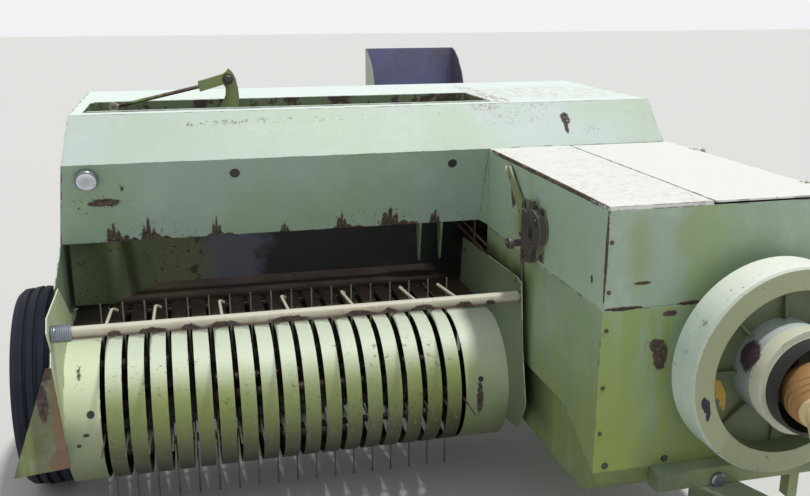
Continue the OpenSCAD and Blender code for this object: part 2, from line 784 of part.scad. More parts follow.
module knotter_frame() {
    z0 = roof_z + plate_t;
    color([0.34, 0.36, 0.34]) in_frame() {
        for (s = [-1, 1]) {
            yz_plate(s * 222 - 4, 8, [[1970, z0], [2240, z0], [2210, 1150], [2080, 1150]]);
        }
        bar_x(-224, 224, 2150, 1090, 18);
        for (x = [-needle_x, needle_x]) {
            bar_x(x - 22, x + 22, 2150, 1090, 62);
            block([x - 30, 2110, z0 + 40], [x + 30, 2200, 1080]);
            block([x - 30, 2190, z0], [x + 30, 2200, z0 + 60]);
        }
    }
}

module knotter_hood() {
    t = 3;
    color([0.55, 0.66, 0.52]) in_frame() difference() {
        union() {
            block([-266, 1940, 962], [266, 2276, 1215]);
            for (s = [-1, 1]) {
                bar_x(s * 215 - 16, s * 215 + 16, 2282, 970, 12);
            }
        }
        block([-263, 1930, 950], [263, 2273, 1212]);
        bar_x(-300, 300, 2282, 970, 6 + run_gap);
        for (s = [-1, 1]) {
            block([s * 180 - 14, 2270, 950], [s * 180 + 14, 2300, 1012]);
        }
    }
}

module hood_hinge() {
    z0 = roof_z + plate_t;
    color([0.34, 0.36, 0.34]) in_frame() {
        for (s = [-1, 1]) {
            block([s * 180 - 6, 2272, z0], [s * 180 + 6, 2292, 980]);
            bar_x(s > 0 ? 180 : -230, s > 0 ? 230 : -180, 2282, 970, 6);
        }
    }
}

module twine_box() {
    t = 4;
    x0 = twine_x;
    x1 = twine_x + twine_w;
    y1 = twine_y + twine_l;
    color([0.5, 0.62, 0.48]) in_frame() {
        difference() {
            block([x0, twine_y, 640], [x1, y1, twine_z]);
            block([x0 + t, twine_y + t, 640 + t], [x1 - t, y1 - t, twine_z + 1]);
        }
        for (y = [twine_y + 60, y1 - 90]) {
            block([bale_half + plate_t, y, 800], [x0, y + 30, 840]);
        }
        for (y = [twine_y + 110, y1 - 150]) {
            block([x0 - 12, y, twine_z - 40], [x0, y + 20, twine_z + 8]);
            bar_y(y, y + 56, x0 - 9, twine_z + 8, 5);
        }
    }
}

module twine_lid() {
    y1 = twine_y + twine_l;
    color([0.5, 0.62, 0.48]) in_frame() difference() {
        union() {
            block([twine_x + 4, twine_y - 4, twine_z + 6],
                [twine_x + twine_w + 4, y1 + 4, twine_z + 10]);
            for (y = [twine_y + 138, y1 - 122]) {
                bar_y(y, y + 26, twine_x - 9, twine_z + 8, 9);
                block([twine_x - 9, y, twine_z + 6], [twine_x + 8, y + 26, twine_z + 10]);
            }
        }
        for (y = [twine_y + 138, y1 - 122]) {
            bar_y(y - 1, y + 27, twine_x - 9, twine_z + 8, 5 + run_gap);
        }
    }
}

module tension_frame() {
    z1 = roof_z + 20;
    color([0.36, 0.38, 0.35]) in_frame() {
        for (y = [3120, 3380]) {
            block([-272, y, z1], [272, y + 50, z1 + 40]);
            block([-272, y, floor_z - 90], [272, y + 50, floor_z - 31]);
            for (s = [-1, 1]) {
                translate([s * 258, y + 25, floor_z - 60]) cylinder(r = 9, h = z1 - floor_z + 250);
                translate([s * 258, y + 25, z1 + 40]) cylinder(r = 16, h = 90);
            }
        }
        for (s = [-1, 1]) {
            rod([s * 258, 3145, z1 + 186], [s * 168, 3145, z1 + 186], 7);
        }
    }
}

module chute() {
    h = chute_w / 2;
    y = chamber_end + 32;
    side = [[y + 4, 590], [y + 4, chute_top], [y, chute_top], [y - 60, 1415], [y - 140, 1370],
        [y - 215, 1300], [y - 262, 1220], [y - 270, 1150], [y - 225, 1060], [y - 130, 850],
        [y - 40, 620], [y - 30, 590]];
    color([0.42, 0.38, 0.42]) in_frame() difference() {
        union() {
            block([-h, y, 590], [h, y + 4, chute_top]);
            yz_plate(-h, 4, side);
            yz_plate(h - 4, 4, side);
            for (s = [-1, 1]) {
                yz_plate(s * 258 - 5, 10, [[y - 2, 596], [y - 8, 575], [y - 6, 561],
                    [y + 8, 558], [y + 22, 565], [y + 24, 575], [y + 4, 596]]);
            }
        }
        bar_x(-280, 280, chamber_end + 40, floor_z - 16, 10 + run_gap);
    }
}

// Pickup

// Outline that the bands and end covers share, in y and z
module band_outline() {
    difference() {
        union() {
            translate([reel_y, reel_z]) circle(r = band_r);
            translate([reel_y, reel_z]) square([1, band_r]);
            polygon([[reel_y, reel_z + band_r], [1228, reel_z + band_r], [1228, reel_z],
                [1226, 302], [1226, 293.3], [reel_y, reel_z - band_r]]);
        }
        translate([reel_y, reel_z]) circle(r = band_r - band_t);
        polygon([[reel_y, reel_z + band_r - band_t], [1229, reel_z + band_r - band_t],
            [1300, reel_z], [1241, 302.6], [reel_y, reel_z - band_r + band_t]]);
    }
}

module cover_strip(x0, x1) {
    translate([x0, 0, 0]) rotate([90, 0, 90]) linear_extrude(x1 - x0) band_outline();
}

module pickup_bands() {
    color([0.66, 0.76, 0.5]) in_frame() {
        for (i = [0:band_n - 1]) {
            x = band_x0 + i * band_pitch;
            cover_strip(x - band_w / 2, x + band_w / 2);
        }
    }
}

module pickup_frame() {
    low = [[reel_y - 137, 220], [reel_y, reel_z - band_r], [1256, 284], [1256, 318],
        [lift_y, 340], [lift_y, 560], [lift_y + 26, lift_z - 15]];
    right = concat([[lift_y + 14, lift_z + 17], [1183, 832], [579, 848], [541, 839],
        [538, 807], [511, 616], [466, 437], [521, 325], [690, 297]], low);
    left = concat([[lift_y + 14, lift_z + 25], [1180, 645], [1000, 700], [801, 853],
        [522, 851], [493, 815], [537, 749], [502, 706], [516, 380], [620, 330]], low);
    last = band_x0 + (band_n - 1) * band_pitch;
    color([0.6, 0.7, 0.5]) in_frame() difference() {
        union() {
            yz_plate(pick_x0, 4, left);
            yz_plate(pick_x1 - 4, 4, right);
            bar_x(end_x - 7, pick_x1 + 14, lift_y, lift_z, lift_r);
            bar_x(pick_x0 + 2, pick_x1 - 2, 1240, 300, 14);
            cover_strip(pick_x0 + 3, band_x0 - 42);
            cover_strip(last + 42, pick_x1 - 3);
            block([pick_x0 + 3, lift_y - 6, lift_z + 8], [pick_x1 - 3, lift_y + 6,
                reel_z + band_r - band_t]);
        }
        for (x = [pick_x0 - 1, pick_x1 - 5]) {
            bar_x(x, x + 6, reel_y, reel_z, stub_r + run_gap);
            bar_x(x, x + 6, guard_y, guard_z, 10 + run_gap);
        }
    }
}

module crop_divider() {
    x = pick_x0;
    color([0.5, 0.6, 0.35]) in_frame() {
        xz_plate(496, 4, [[x - 12, 706], [x + 4, 706], [x + 27, 380], [x - 135, 365]]);
        xz_plate(500, 72, [[x - 4, 706], [x, 706], [x, 385], [x - 4, 385]]);
    }
}

module reel() {
    color([0.35, 0.3, 0.25]) in_frame() translate([0, reel_y, reel_z]) {
        bar_x(pick_x0 - 8, pick_x1 + 8, 0, 0, stub_r);
        for (x = [band_x0 - 33, -1130, band_x0 + (band_n - 1) * band_pitch + 27]) {
            bar_x(x, x + 6, 0, 0, tine_bar_r + tine_tube_r / 2);
        }
        for (a = [0:90:270]) {
            rotate([a, 0, 0]) bar_x(band_x0 - 45, band_x0 + (band_n - 1) * band_pitch + 45,
                0, tine_bar_r, tine_tube_r);
        }
    }
}

module reel_tines() {
    r0 = tine_bar_r + tine_tube_r + seat_gap;
    color([0.35, 0.3, 0.25]) in_frame() translate([0, reel_y, reel_z]) {
        for (a = [0:90:270], i = [0:band_n]) {
            rotate([a, 0, 0]) translate([band_x0 + (i - 0.5) * band_pitch, 0, r0])
                cylinder(r = wire_r, h = tine_r - r0);
        }
    }
}

module wind_guard() {
    color([0.8, 0.78, 0.66]) in_frame() {
        bar_x(pick_x0 + 12, pick_x1 - 12, guard_y, guard_z, guard_r);
        bar_x(pick_x0 - 6, pick_x1 + 1, guard_y, guard_z, 10);
    }
}

module guard_fingers() {
    color([0.8, 0.78, 0.66]) in_frame() difference() {
        for (i = [0, 2, 5, 8, 11, 14, 16]) {
            x = band_x0 + i * band_pitch;
            rod([x, guard_y, guard_z - 4], [x, 850, 752], 5);
        }
        bar_x(pick_x0, pick_x1, guard_y, guard_z, guard_r + seat_gap);
    }
}

// Feeder drive on top and the pickup's lift gear

module rocker_bracket() {
    color([0.4, 0.42, 0.4]) in_frame() {
        yz_plate(rock_x - 42, 84, [[slot_y1 + 4, rock_z - 25], [slot_y1 + 12, rock_z - 25],
            [slot_y1 + 12, feed_top - 4], [slot_y1 + 4, feed_top - 4]]);
        bar_y(1425, slot_y1 + 12, rock_x, rock_z, 12);
    }
}

module rocker_arm() {
    y0 = 1432;
    x = link_x;
    z = link_z;
    color([0.55, 0.64, 0.48]) in_frame() difference() {
        union() {
            bar_y(y0, y0 + 24, rock_x, rock_z, 28);
            xz_plate(y0, 24, [[rock_x - 27, rock_z + 6], [rock_x - 34, rock_z + 62],
                [rock_x - 26, rock_z + 84], [x - 18, z - 88], [x - 9, z - 62], [x - 8, z - 38],
                [x - 22, z - 8], [x - 18, z + 14], [x + 8, z + 35], [x + 20, z + 22],
                [x + 30, z + 2], [x + 38, z - 36], [x + 41, z - 70], [x + 38, z - 102],
                [x + 30, z - 128], [rock_x + 27, rock_z + 6]]);
            bar_y(y0 - 26, y0 + 1, x, z, 8);
            bar_y(y0 - 28, y0 - 25, x, z, 12);
        }
        bar_y(y0 - 1, y0 + 25, rock_x, rock_z, 12 + run_gap);
    }
}

module link_rod() {
    y0 = 1408;
    x = link_x;
    z = link_z;
    color([0.5, 0.52, 0.48]) in_frame() difference() {
        union() {
            bar_y(y0, y0 + 18, x, z, 18);
            xz_plate(y0 - 4, 23, [[x - 17, z + 19], [x - 112, z - 7], [x - 106, z - 46],
                [x - 14, z - 20]]);
            rod([x - 106, y0 + 8, z - 27], [x - 422, y0 + 9, z - 96], 7);
            bar_y(y0, y0 + 18, x - 422, z - 96, 17);
        }
        bar_y(y0 - 5, y0 + 20, x, z, 8 + run_gap);
        bar_y(y0 - 1, y0 + 19, x - 422, z - 96, 8);
    }
}

module lift_gear() {
    x = -half_w;
    ring = [[545, 918], [470, 930], [462, 975], [448, 990], [404, 1004], [388, 1028],
        [388, 1062], [408, 1092], [446, 1106], [478, 1104], [500, 1090], [545, 1092]];
    hole = [[482, 1046], [460, 1050], [447, 1030], [450, 1008], [468, 1000], [492, 1012]];
    color([0.28, 0.26, 0.24]) in_frame() {
        yz_plate(x - 6, 6, [[588, 942], [415, 942], [415, 1114], [588, 1114]]);
        difference() {
            yz_plate(x - 30, 25, ring);
            yz_plate(x - 31, 27, hole);
        }
        yz_plate(x - 24, 12, [[500, 1086], [470, 1086], [472, 1132], [496, 1132]]);
        yz_plate(x - 13, 8, [[604, 985], [556, 985], [560, 1084], [720, wall_z - 8],
            [766, wall_z - 8], [628, 1072]]);
        bar_x(x - 60, x - 5, 566, 972, 12);
        bar_x(x - 66, x - 50, 566, 972, 19);
        rod([x - 6, 586, 945], [x - 6, 586, 800], 5);
    }
}

housing_front();
housing_side_right();
housing_side_left();
housing_rear();
housing_top();
service_lid();
housing_belly();
gearbox();
plunger();
front_underframe();
flywheel();
flywheel_drum();
drive_stub();
driveline();
drawbar();
drawbar_stand();
jack();
wheel_right_tyre();
wheel_left_tyre();
wheel_right_rim();
wheel_left_rim();
axle();
feeder_front();
lamp();
feeder_top();
feeder_end();
feeder_inner_end();
feeder_rear();
feeder_deck();
throat_wall();
feeder_forks();
chamber_floor();
chamber_right();
chamber_left();
chamber_roof();
star_wheel();
needle_yoke();
knotter_frame();
knotter_hood();
hood_hinge();
twine_box();
twine_lid();
tension_frame();
chute();
pickup_bands();
pickup_frame();
crop_divider();
reel();
reel_tines();
wind_guard();
guard_fingers();
rocker_bracket();
rocker_arm();
link_rod();
lift_gear();
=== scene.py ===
import math
import bpy
import bmesh
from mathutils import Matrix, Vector


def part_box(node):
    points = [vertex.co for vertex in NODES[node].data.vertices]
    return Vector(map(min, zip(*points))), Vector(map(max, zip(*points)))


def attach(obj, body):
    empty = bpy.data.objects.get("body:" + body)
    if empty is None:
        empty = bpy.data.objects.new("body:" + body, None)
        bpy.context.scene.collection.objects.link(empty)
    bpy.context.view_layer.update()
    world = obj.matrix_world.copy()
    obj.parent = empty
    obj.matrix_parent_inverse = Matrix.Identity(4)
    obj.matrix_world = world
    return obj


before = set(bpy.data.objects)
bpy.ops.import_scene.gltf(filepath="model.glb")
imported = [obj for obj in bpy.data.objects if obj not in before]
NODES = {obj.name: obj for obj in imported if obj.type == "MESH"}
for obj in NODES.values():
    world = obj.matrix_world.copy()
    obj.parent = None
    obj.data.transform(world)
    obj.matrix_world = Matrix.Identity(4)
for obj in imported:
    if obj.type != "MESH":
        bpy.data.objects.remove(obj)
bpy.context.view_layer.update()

# The part's own measuring frame: x from the bale chamber's middle, y from the crank
# housing's front, both in millimetres. L() gives such a point in the row frame in metres.
_low, _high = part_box("housing_front")
CHAMBER_X = (_low.x + _high.x) / 2
FRONT_Y = _low.y


def L(x, y, z):
    return Vector((x / 1000 + CHAMBER_X, y / 1000 + FRONT_Y, z / 1000))


# Places in local millimetres
SEAM_Z = 925                        # seam between the housing's upper and lower sheets
SIDE_X = -355                       # the housing's right side
REEL_Y, REEL_Z = 857, 405           # the reel's axis
BANDS_TOP_Y = 885                   # where the bands turn level at the top
BAND_X0, BAND_PITCH, BAND_N = -1696, 70, 17
GUARD_Y, GUARD_Z = 551, 791         # the wind guard's tube
DRIVE_X, DRIVE_Z = 127, 771         # axis of the flywheel
SWING_Y = -265                      # swing pin of the drawbar, joint of the driveline
WHEEL_Y, WHEEL_Z = 1201, 364        # the wheels' axis
SLANT = (0, 0.9487, 0.3162)         # across the feeder's lower front sheet, into the feeder
SWING = math.radians(-28)           # the drawbar parked to the right
DRIVE_DIP = math.radians(13)        # the driveline hanging down from its joint


# ---------------------------------------------------------------- materials

class Mat:
    """A procedural material. Its coordinates are the row frame's metres."""

    def __init__(self, name, rough=0.5, metal=0.0):
        self.m = bpy.data.materials.new(name)
        self.m.use_nodes = True
        self.nt = self.m.node_tree
        self.bsdf = self.nt.nodes["Principled BSDF"]
        self.bsdf.inputs["Metallic"].default_value = metal
        self.bsdf.inputs["Roughness"].default_value = rough
        self.co = self.nt.nodes.new("ShaderNodeTexCoord").outputs["Object"]
        self.col = None
        self.rough = rough

    def node(self, kind, **values):
        n = self.nt.nodes.new(kind)
        for key, value in values.items():
            setattr(n, key, value)
        return n

    def put(self, socket, value):
        if isinstance(value, bpy.types.NodeSocket):
            self.nt.links.new(value, socket)
        else:
            socket.default_value = value

    def math(self, op, *values):
        n = self.node("ShaderNodeMath", operation=op)
        for socket, value in zip(n.inputs, values):
            self.put(socket, value)
        return n.outputs[0]

    def vector(self, op, *values):
        n = self.node("ShaderNodeVectorMath", operation=op)
        for socket, value in zip(n.inputs, values):
            self.put(socket, value)
        return n.outputs["Value" if op in ("LENGTH", "DOT_PRODUCT") else "Vector"]

    def noise(self, scale, detail, rough, stretch=(1, 1, 1), offset=(0, 0, 0), distort=0.0):
        place = self.node("ShaderNodeMapping")
        self.put(place.inputs["Vector"], self.co)
        place.inputs["Scale"].default_value = stretch
        place.inputs["Location"].default_value = offset
        n = self.node("ShaderNodeTexNoise")
        self.put(n.inputs["Vector"], place.outputs[0])
        n.inputs["Scale"].default_value = scale
        n.inputs["Detail"].default_value = detail
        n.inputs["Roughness"].default_value = rough
        n.inputs["Distortion"].default_value = distort
        return n.outputs[0]

    def ramp(self, value, lo, hi):
        """Smoothly from 0 at lo to 1 at hi."""
        n = self.node("ShaderNodeMapRange", interpolation_type="SMOOTHSTEP")
        for socket, given in zip(n.inputs, (value, lo, hi)):
            self.put(socket, given)
        return n.outputs[0]

    def mix(self, fac, a, b):
        n = self.node("ShaderNodeMix", data_type="RGBA")
        self.put(n.inputs[0], fac)
        for socket, value in ((n.inputs[6], a), (n.inputs[7], b)):
            if isinstance(value, tuple):
                value = (*value, 1.0)
            self.put(socket, value)
        return n.outputs[2]

    def over(self, fac, colour):
        self.col = self.mix(fac, self.col, colour)

    def both(self, *masks):
        out = masks[0]
        for mask in masks[1:]:
            out = self.math("MULTIPLY", out, mask)
        return out

    def part(self, vector, name):
        n = self.node("ShaderNodeSeparateXYZ")
        self.put(n.inputs[0], vector)
        return n.outputs["XYZ".index(name)]

    def axis(self, name):
        return self.part(self.co, name)

    def own_normal(self):
        """The face's normal, turning with its body."""
        g = self.node("ShaderNodeNewGeometry")
        t = self.node("ShaderNodeVectorTransform", vector_type="NORMAL",
                      convert_from="WORLD", convert_to="OBJECT")
        self.put(t.inputs[0], g.outputs["True Normal"])
        return t.outputs[0]

    def normal(self, name):
        return self.part(self.own_normal(), name)

    def facing(self, name, lo, hi):
        """1 where the normal's part along an axis is past hi."""
        return self.ramp(self.normal(name), lo, hi)

    def band(self, axis, at, width=4):
        """1 past a local place along an axis, soft over width mm."""
        k = "xyz".index(axis)
        place = L(*[at if i == k else 0 for i in range(3)])[k]
        return self.ramp(self.axis(axis.upper()), place - width / 2000, place + width / 2000)

    def below(self, axis, at, width=4):
        return self.math("SUBTRACT", 1.0, self.band(axis, at, width))

    def far(self, centre, radii):
        """How far a point is from a local place: 1 on the ellipsoid of these radii in mm."""
        away = self.vector("SUBTRACT", self.co, L(*centre))
        return self.vector("LENGTH", self.vector("DIVIDE", away, [r / 1000 for r in radii]))

    def radius(self, x, z):
        """Distance in metres from the line along y through x, z (local mm)."""
        away = self.vector("SUBTRACT", self.co, L(x, 0, z))
        return self.vector("LENGTH", self.vector("MULTIPLY", away, (1, 0, 1)))

    def inward(self, y, z):
        """1 where a face looks towards the line along x through y, z (local mm)."""
        away = self.vector("SUBTRACT", self.co, L(0, y, z))
        flat = self.vector("MULTIPLY", away, (0, 1, 1))
        return self.ramp(self.vector("DOT_PRODUCT", flat, self.own_normal()), -0.01, -0.05)

    def edges(self, radius=0.006):
        """A mask of the outer and inner edges, from the rounded normal."""
        b = self.node("ShaderNodeBevel", samples=4)
        b.inputs["Radius"].default_value = radius
        g = self.node("ShaderNodeNewGeometry")
        same = self.vector("DOT_PRODUCT", b.outputs[0], g.outputs["True Normal"])
        return self.ramp(same, 0.98, 0.84)

    def ragged(self, d, wobble, scale, soft, seed=0, flakes=0.0):
        """A ragged mask of the places where d is below 1, with loose flakes round them."""
        n = self.noise(scale, 10, 0.82, offset=(seed, 2 * seed, 0))
        rough = self.math("MULTIPLY_ADD", n, wobble * 3.4, -wobble * 1.7)
        mask = self.ramp(self.math("ADD", d, rough), 1.0 + soft, 1.0 - soft)
        if flakes:
            near = self.ramp(d, 2.2, 0.9)
            chips = self.ramp(self.noise(75, 6, 0.75, offset=(seed, seed, seed)), 0.60, 0.62)
            mask = self.math("MAXIMUM", mask, self.both(near, chips, flakes))
        return mask

    def spot(self, centre, radii, wobble, scale, soft=0.12, seed=0):
        """A mask that is 1 inside a ragged ellipsoid; centre in local mm, radii in mm."""
        return self.ragged(self.far(centre, radii), wobble, scale, soft, seed)

    def specks(self, centre, radii, colour, scale, lo, fac=0.9):
        """Fine specks of a colour inside a soft ellipsoid."""
        zone = self.ramp(self.far(centre, radii), 1.2, 0.7)
        dots = self.ramp(self.noise(scale, 7, 0.75, offset=(lo, 3, 5)), lo, lo + 0.03)
        self.over(self.both(zone, dots, fac), colour)

    def scratches(self, fac, colour, stretch, scale, lo):
        n = self.noise(scale, 9, 0.85, stretch=stretch, offset=(4, 4, 4), distort=0.6)
        self.over(self.both(self.ramp(n, lo, lo + 0.05), fac), colour)

    def rust(self, fac, dark=(0.042, 0.030, 0.027), light=(0.125, 0.078, 0.064)):
        self.over(fac, self.mix(self.ramp(self.noise(70, 6, 0.7), 0.35, 0.7), dark, light))
        before = self.rough
        if not isinstance(before, bpy.types.NodeSocket):
            before = (before,) * 3
        self.rough = self.mix(fac, before, (0.88,) * 3)

    def done(self, bump=0.12):
        self.put(self.bsdf.inputs["Base Color"], self.col)
        self.put(self.bsdf.inputs["Roughness"], self.rough)
        b = self.node("ShaderNodeBump")
        b.inputs["Strength"].default_value = bump
        b.inputs["Distance"].default_value = 0.0015
        self.put(b.inputs["Height"], self.noise(90, 5, 0.6))
        self.put(self.bsdf.inputs["Normal"], b.outputs[0])
        return self.m


SAGE = (0.285, 0.40, 0.25)
SAGE_BLUE = (0.33, 0.435, 0.35)
PALE = (0.56, 0.64, 0.54)
WHITE = (0.74, 0.77, 0.72)
YELLOW_GREEN = (0.31, 0.40, 0.10)
OLIVE = (0.30, 0.35, 0.17)
OLIVE_DARK = (0.13, 0.16, 0.075)
BROWN = (0.045, 0.03, 0.024)
GRIME = (0.06, 0.05, 0.045)
SOOT = (0.02, 0.02, 0.018)
# Painted shade on the pickup's inner faces
INNER_SHADE = (0.016, 0.014, 0.012)
NIGHT = (0.014, 0.016, 0.016)
BLACK = (0.02, 0.022, 0.03)
YELLOW = (0.62, 0.40, 0.05)
RUST = None                         # in a row of spots: rust instead of a colour

# Base, second colour, bleached colour and streaks of a paint
GREENS = (SAGE, SAGE_BLUE, PALE, YELLOW_GREEN)
LEAF = ((0.24, 0.31, 0.11), (0.30, 0.37, 0.16), (0.42, 0.5, 0.26), (0.18, 0.22, 0.08))

# A rust tongue is four ellipsoids: x and width by its half width, height by its height
TONGUE = ((-0.6, 0.35, 0.8), (-0.05, 0.3, 1.15), (0.55, 0.35, 0.65), (0.0, 1.1, 0.2))


def paint(name, base, alt, bleach, streak, rust, edge, bleach_top=0.9, streaks=0.5, underside_shade=0.4,
          rough=0.5, fades=(), spots=(), rise=(), more=None):
    """Weathered paint. fades: (height from, to, colour), spots: (centre, radii, colour or RUST,
    wobble, scale), rise: (x, half width, lower edge z, height) of rust tongues. more(m) adds
    what only this paint has, under the rust."""
    m = Mat(name, rough)
    m.col = m.mix(m.ramp(m.noise(2.6, 3, 0.5), 0.36, 0.64), base, alt)
    runs = m.ramp(m.noise(1, 5, 0.6, stretch=(16, 16, 1.3)), 0.5, 0.78)
    m.over(m.both(runs, streaks), streak)
    m.over(m.both(m.ramp(m.noise(5, 6, 0.7, offset=(3, 1, 7)), 0.45, 0.8), 0.35), bleach)
    # Colours that grow towards the bottom: painted shade, partly the paint's own tone
    for start, end, colour in fades:
        m.over(m.both(m.ramp(m.axis("Z"), start, end), 0.85), colour)
    m.over(m.both(m.facing("Z", 0.45, 0.97), bleach_top), bleach)
    # Painted shade: faces that look downwards are darker
    m.over(m.both(m.facing("Z", -0.2, -0.9), underside_shade), (0.10, 0.10, 0.07))
    m.over(m.both(m.ramp(m.noise(38, 7, 0.75), 0.5, 0.75), 0.25), tuple(c * 0.72 for c in base))
    if more:
        more(m)
    chips = m.ramp(m.noise(85, 6, 0.75, offset=(1, 9, 3)), 0.36, 0.41)
    rusty = []
    for k, (centre, radii, colour, wobble, scale) in enumerate(spots):
        if colour is RUST:
            rusty.append(m.far(centre, radii))
            continue
        soft = 0.6 if colour is OLIVE else 0.08
        mask = m.spot(centre, radii, wobble, scale, soft, k * 1.7 + 0.3)
        m.over(m.both(mask, 1.0 if colour is BLACK else 0.75), colour)
    for x, half, z, height in rise:
        for dx, w, h in TONGUE:
            rusty.append(m.far((x + dx * half, 0, z), (half * w, 1e6, height * h)))
    if rusty:
        # One noise for the nearest of them all keeps the number of nodes small
        d = rusty[0]
        for other in rusty[1:]:
            d = m.math("MINIMUM", d, other)
        m.rust(m.both(m.ragged(d, 0.5, 60, 0.1, 0.3, 0.9), chips))
    pits = m.ramp(m.noise(150, 3, 0.7, offset=(2, 6, 4)), 0.735, 0.75)
    m.over(m.both(pits, 0.75), (0.06, 0.045, 0.035))
    patches = m.noise(8.5, 9, 0.72, offset=(5, 5, 5))
    m.rust(m.ramp(patches, 0.735 - rust * 0.12, 0.765 - rust * 0.12))
    if edge:
        worn = m.edges()
        where = m.noise(17, 6, 0.7, offset=(9, 0, 2))
        m.rust(m.both(worn, m.ramp(where, 0.62 - edge * 0.22, 0.7 - edge * 0.2)))
    return m.done()


def plain(name, colour, rough, metal, alt, rust=0.0, bump=0.1, scale=6.0):
    m = Mat(name, rough, metal)
    m.col = m.mix(m.ramp(m.noise(scale, 6, 0.65), 0.35, 0.68), colour, alt)
    if rust:
        patches = m.noise(13, 8, 0.7, offset=(2, 8, 1))
        m.rust(m.ramp(patches, 0.72 - rust * 0.3, 0.8 - rust * 0.3))
    return m.done(bump)


def front_spots(y, depth, *rows):
    """Spots on a face that looks forward, from x, z, half width, half height and the rest."""
    return [((x, y, z), (w, depth, h), *rest) for x, z, w, h, *rest in rows]


def feeder_look(m):
    # Painted shade: the faces that look rearwards, into the feeder, are darker
    m.over(m.facing("Y", 0.1, 0.3), (0.045, 0.055, 0.035))
    lower = m.facing("Z", 0.0, -0.25)
    m.scratches(m.both(lower, 0.85), (0.06, 0.065, 0.045), (5, 5, 14), 2.2, 0.63)
    for x, z, w, h, colour, scale, lo in (
            (-1330, 1328, 140, 9, (0.06, 0.055, 0.055), 60, 0.53),
            (-1080, 1330, 240, 10, (0.06, 0.055, 0.055), 60, 0.57),
            (-700, 1340, 260, 8, (0.07, 0.06, 0.055), 60, 0.60),
            (-190, 1335, 190, 48, (0.20, 0.12, 0.10), 75, 0.55),
            (-330, 1352, 60, 12, (0.16, 0.09, 0.07), 75, 0.50),
            (60, 1266, 46, 14, (0.12, 0.08, 0.07), 70, 0.54),
            (-640, 960, 300, 60, GRIME, 60, 0.59),
            (-1560, 945, 160, 60, GRIME, 60, 0.57),
            (-1760, 1090, 70, 60, (0.10, 0.08, 0.06), 60, 0.57),
            (-900, 945, 120, 50, GRIME, 60, 0.59)):
        m.specks((x, 1050, z), (w, 200, h), colour, scale, lo)
    upper = m.facing("Z", 0.5, 0.65)
    clouds = m.ramp(m.noise(1.7, 4, 0.6, offset=(7, 2, 2)), 0.4, 0.7)
    m.over(m.both(upper, clouds, 0.6), (0.52, 0.60, 0.66))


def housing_look(m):
    side = m.facing("X", -0.6, -0.9)
    # Painted shade: the right side is darker below the seam
    m.over(m.both(side, m.below("z", SEAM_Z, 6), 0.35), (0.15, 0.20, 0.10))
    m.over(m.both(side, m.band("z", SEAM_Z, 6), 0.5), (0.40, 0.53, 0.42))
    # Painted shade on the right side where it stands close beside the pickup
    shade_beside_pickup = m.both(side, m.band("y", 505, 70), m.below("z", 880, 60),
                           m.below("y", 1000, 5))
    m.over(m.both(shade_beside_pickup, 0.85), (0.035, 0.048, 0.026))
    runs = m.ramp(m.noise(1, 4, 0.6, stretch=(9, 9, 0.7), offset=(1, 1, 0)), 0.42, 0.62)
    mostly_front = m.math("MAXIMUM", m.facing("Y", -0.5, -0.9), 0.3)
    m.over(m.both(m.below("z", SEAM_Z, 6), runs, mostly_front, 0.75), (0.27, 0.345, 0.06))
    runs = m.ramp(m.noise(1, 4, 0.6, stretch=(7, 7, 0.9), offset=(6, 4, 0)), 0.52, 0.7)
    m.over(m.both(runs, 0.5), (0.29, 0.33, 0.10))
    m.scratches(0.8, (0.09, 0.08, 0.06), (30, 30, 3), 1.5, 0.68)


def belly_look(m):
    # Painted shade on the belly's side beside the pickup
    shade_beside_pickup = m.both(m.facing("X", -0.6, -0.9), m.band("y", 380, 220), m.band("z", 400, 90))
    m.over(m.both(shade_beside_pickup, 0.85), (0.03, 0.042, 0.022))


def band_look(m):
    level = m.band("y", BANDS_TOP_Y, 50)
    m.over(level, BROWN)
    patches = m.ramp(m.noise(9, 6, 0.7), 0.45, 0.6)
    m.rust(m.both(level, patches, 0.7), (0.05, 0.025, 0.02), (0.10, 0.05, 0.035))
    m.scratches(0.7, (0.10, 0.11, 0.05), (9, 1.3, 1.3), 5.0, 0.66)
    marks = m.both(m.ramp(m.noise(46, 4, 0.8, offset=(4, 4, 1)), 0.60, 0.62),
                   m.ramp(m.noise(7, 3, 0.6), 0.42, 0.62))
    m.over(m.both(marks, m.below("z", 610, 40), 0.8), (0.085, 0.075, 0.035))
    # Painted shade: the bands' downward faces are nearly black
    m.over(m.facing("Z", -0.35, -0.75), (0.03, 0.032, 0.018))
    # Painted shade on the faces that look towards the reel
    m.over(m.inward(REEL_Y, REEL_Z), INNER_SHADE)


def pickup_look(m):
    plate = m.both(m.facing("X", -0.6, -0.9), m.band("x", -500))
    m.over(m.both(plate, 0.92), (0.115, 0.155, 0.088))
    m.scratches(m.both(plate, 0.8), (0.04, 0.04, 0.03), (9, 9, 1.2), 2.0, 0.62)
    m.over(m.both(m.facing("Z", 0.8, 0.95), m.band("y", BANDS_TOP_Y, 50)), BROWN)
    not_inner = m.facing("X", 0.5, 0.2)
    right_cover = m.both(m.below("x", -1735), m.band("z", 510, 130), not_inner,
                         m.below("y", BANDS_TOP_Y, 50))
    m.over(m.both(right_cover, 0.85), (0.64, 0.72, 0.50))
    # Painted shade on the pickup frame's faces that look towards the reel
    m.over(m.both(m.inward(REEL_Y, REEL_Z), not_inner, m.facing("X", -0.5, -0.2)), INNER_SHADE)


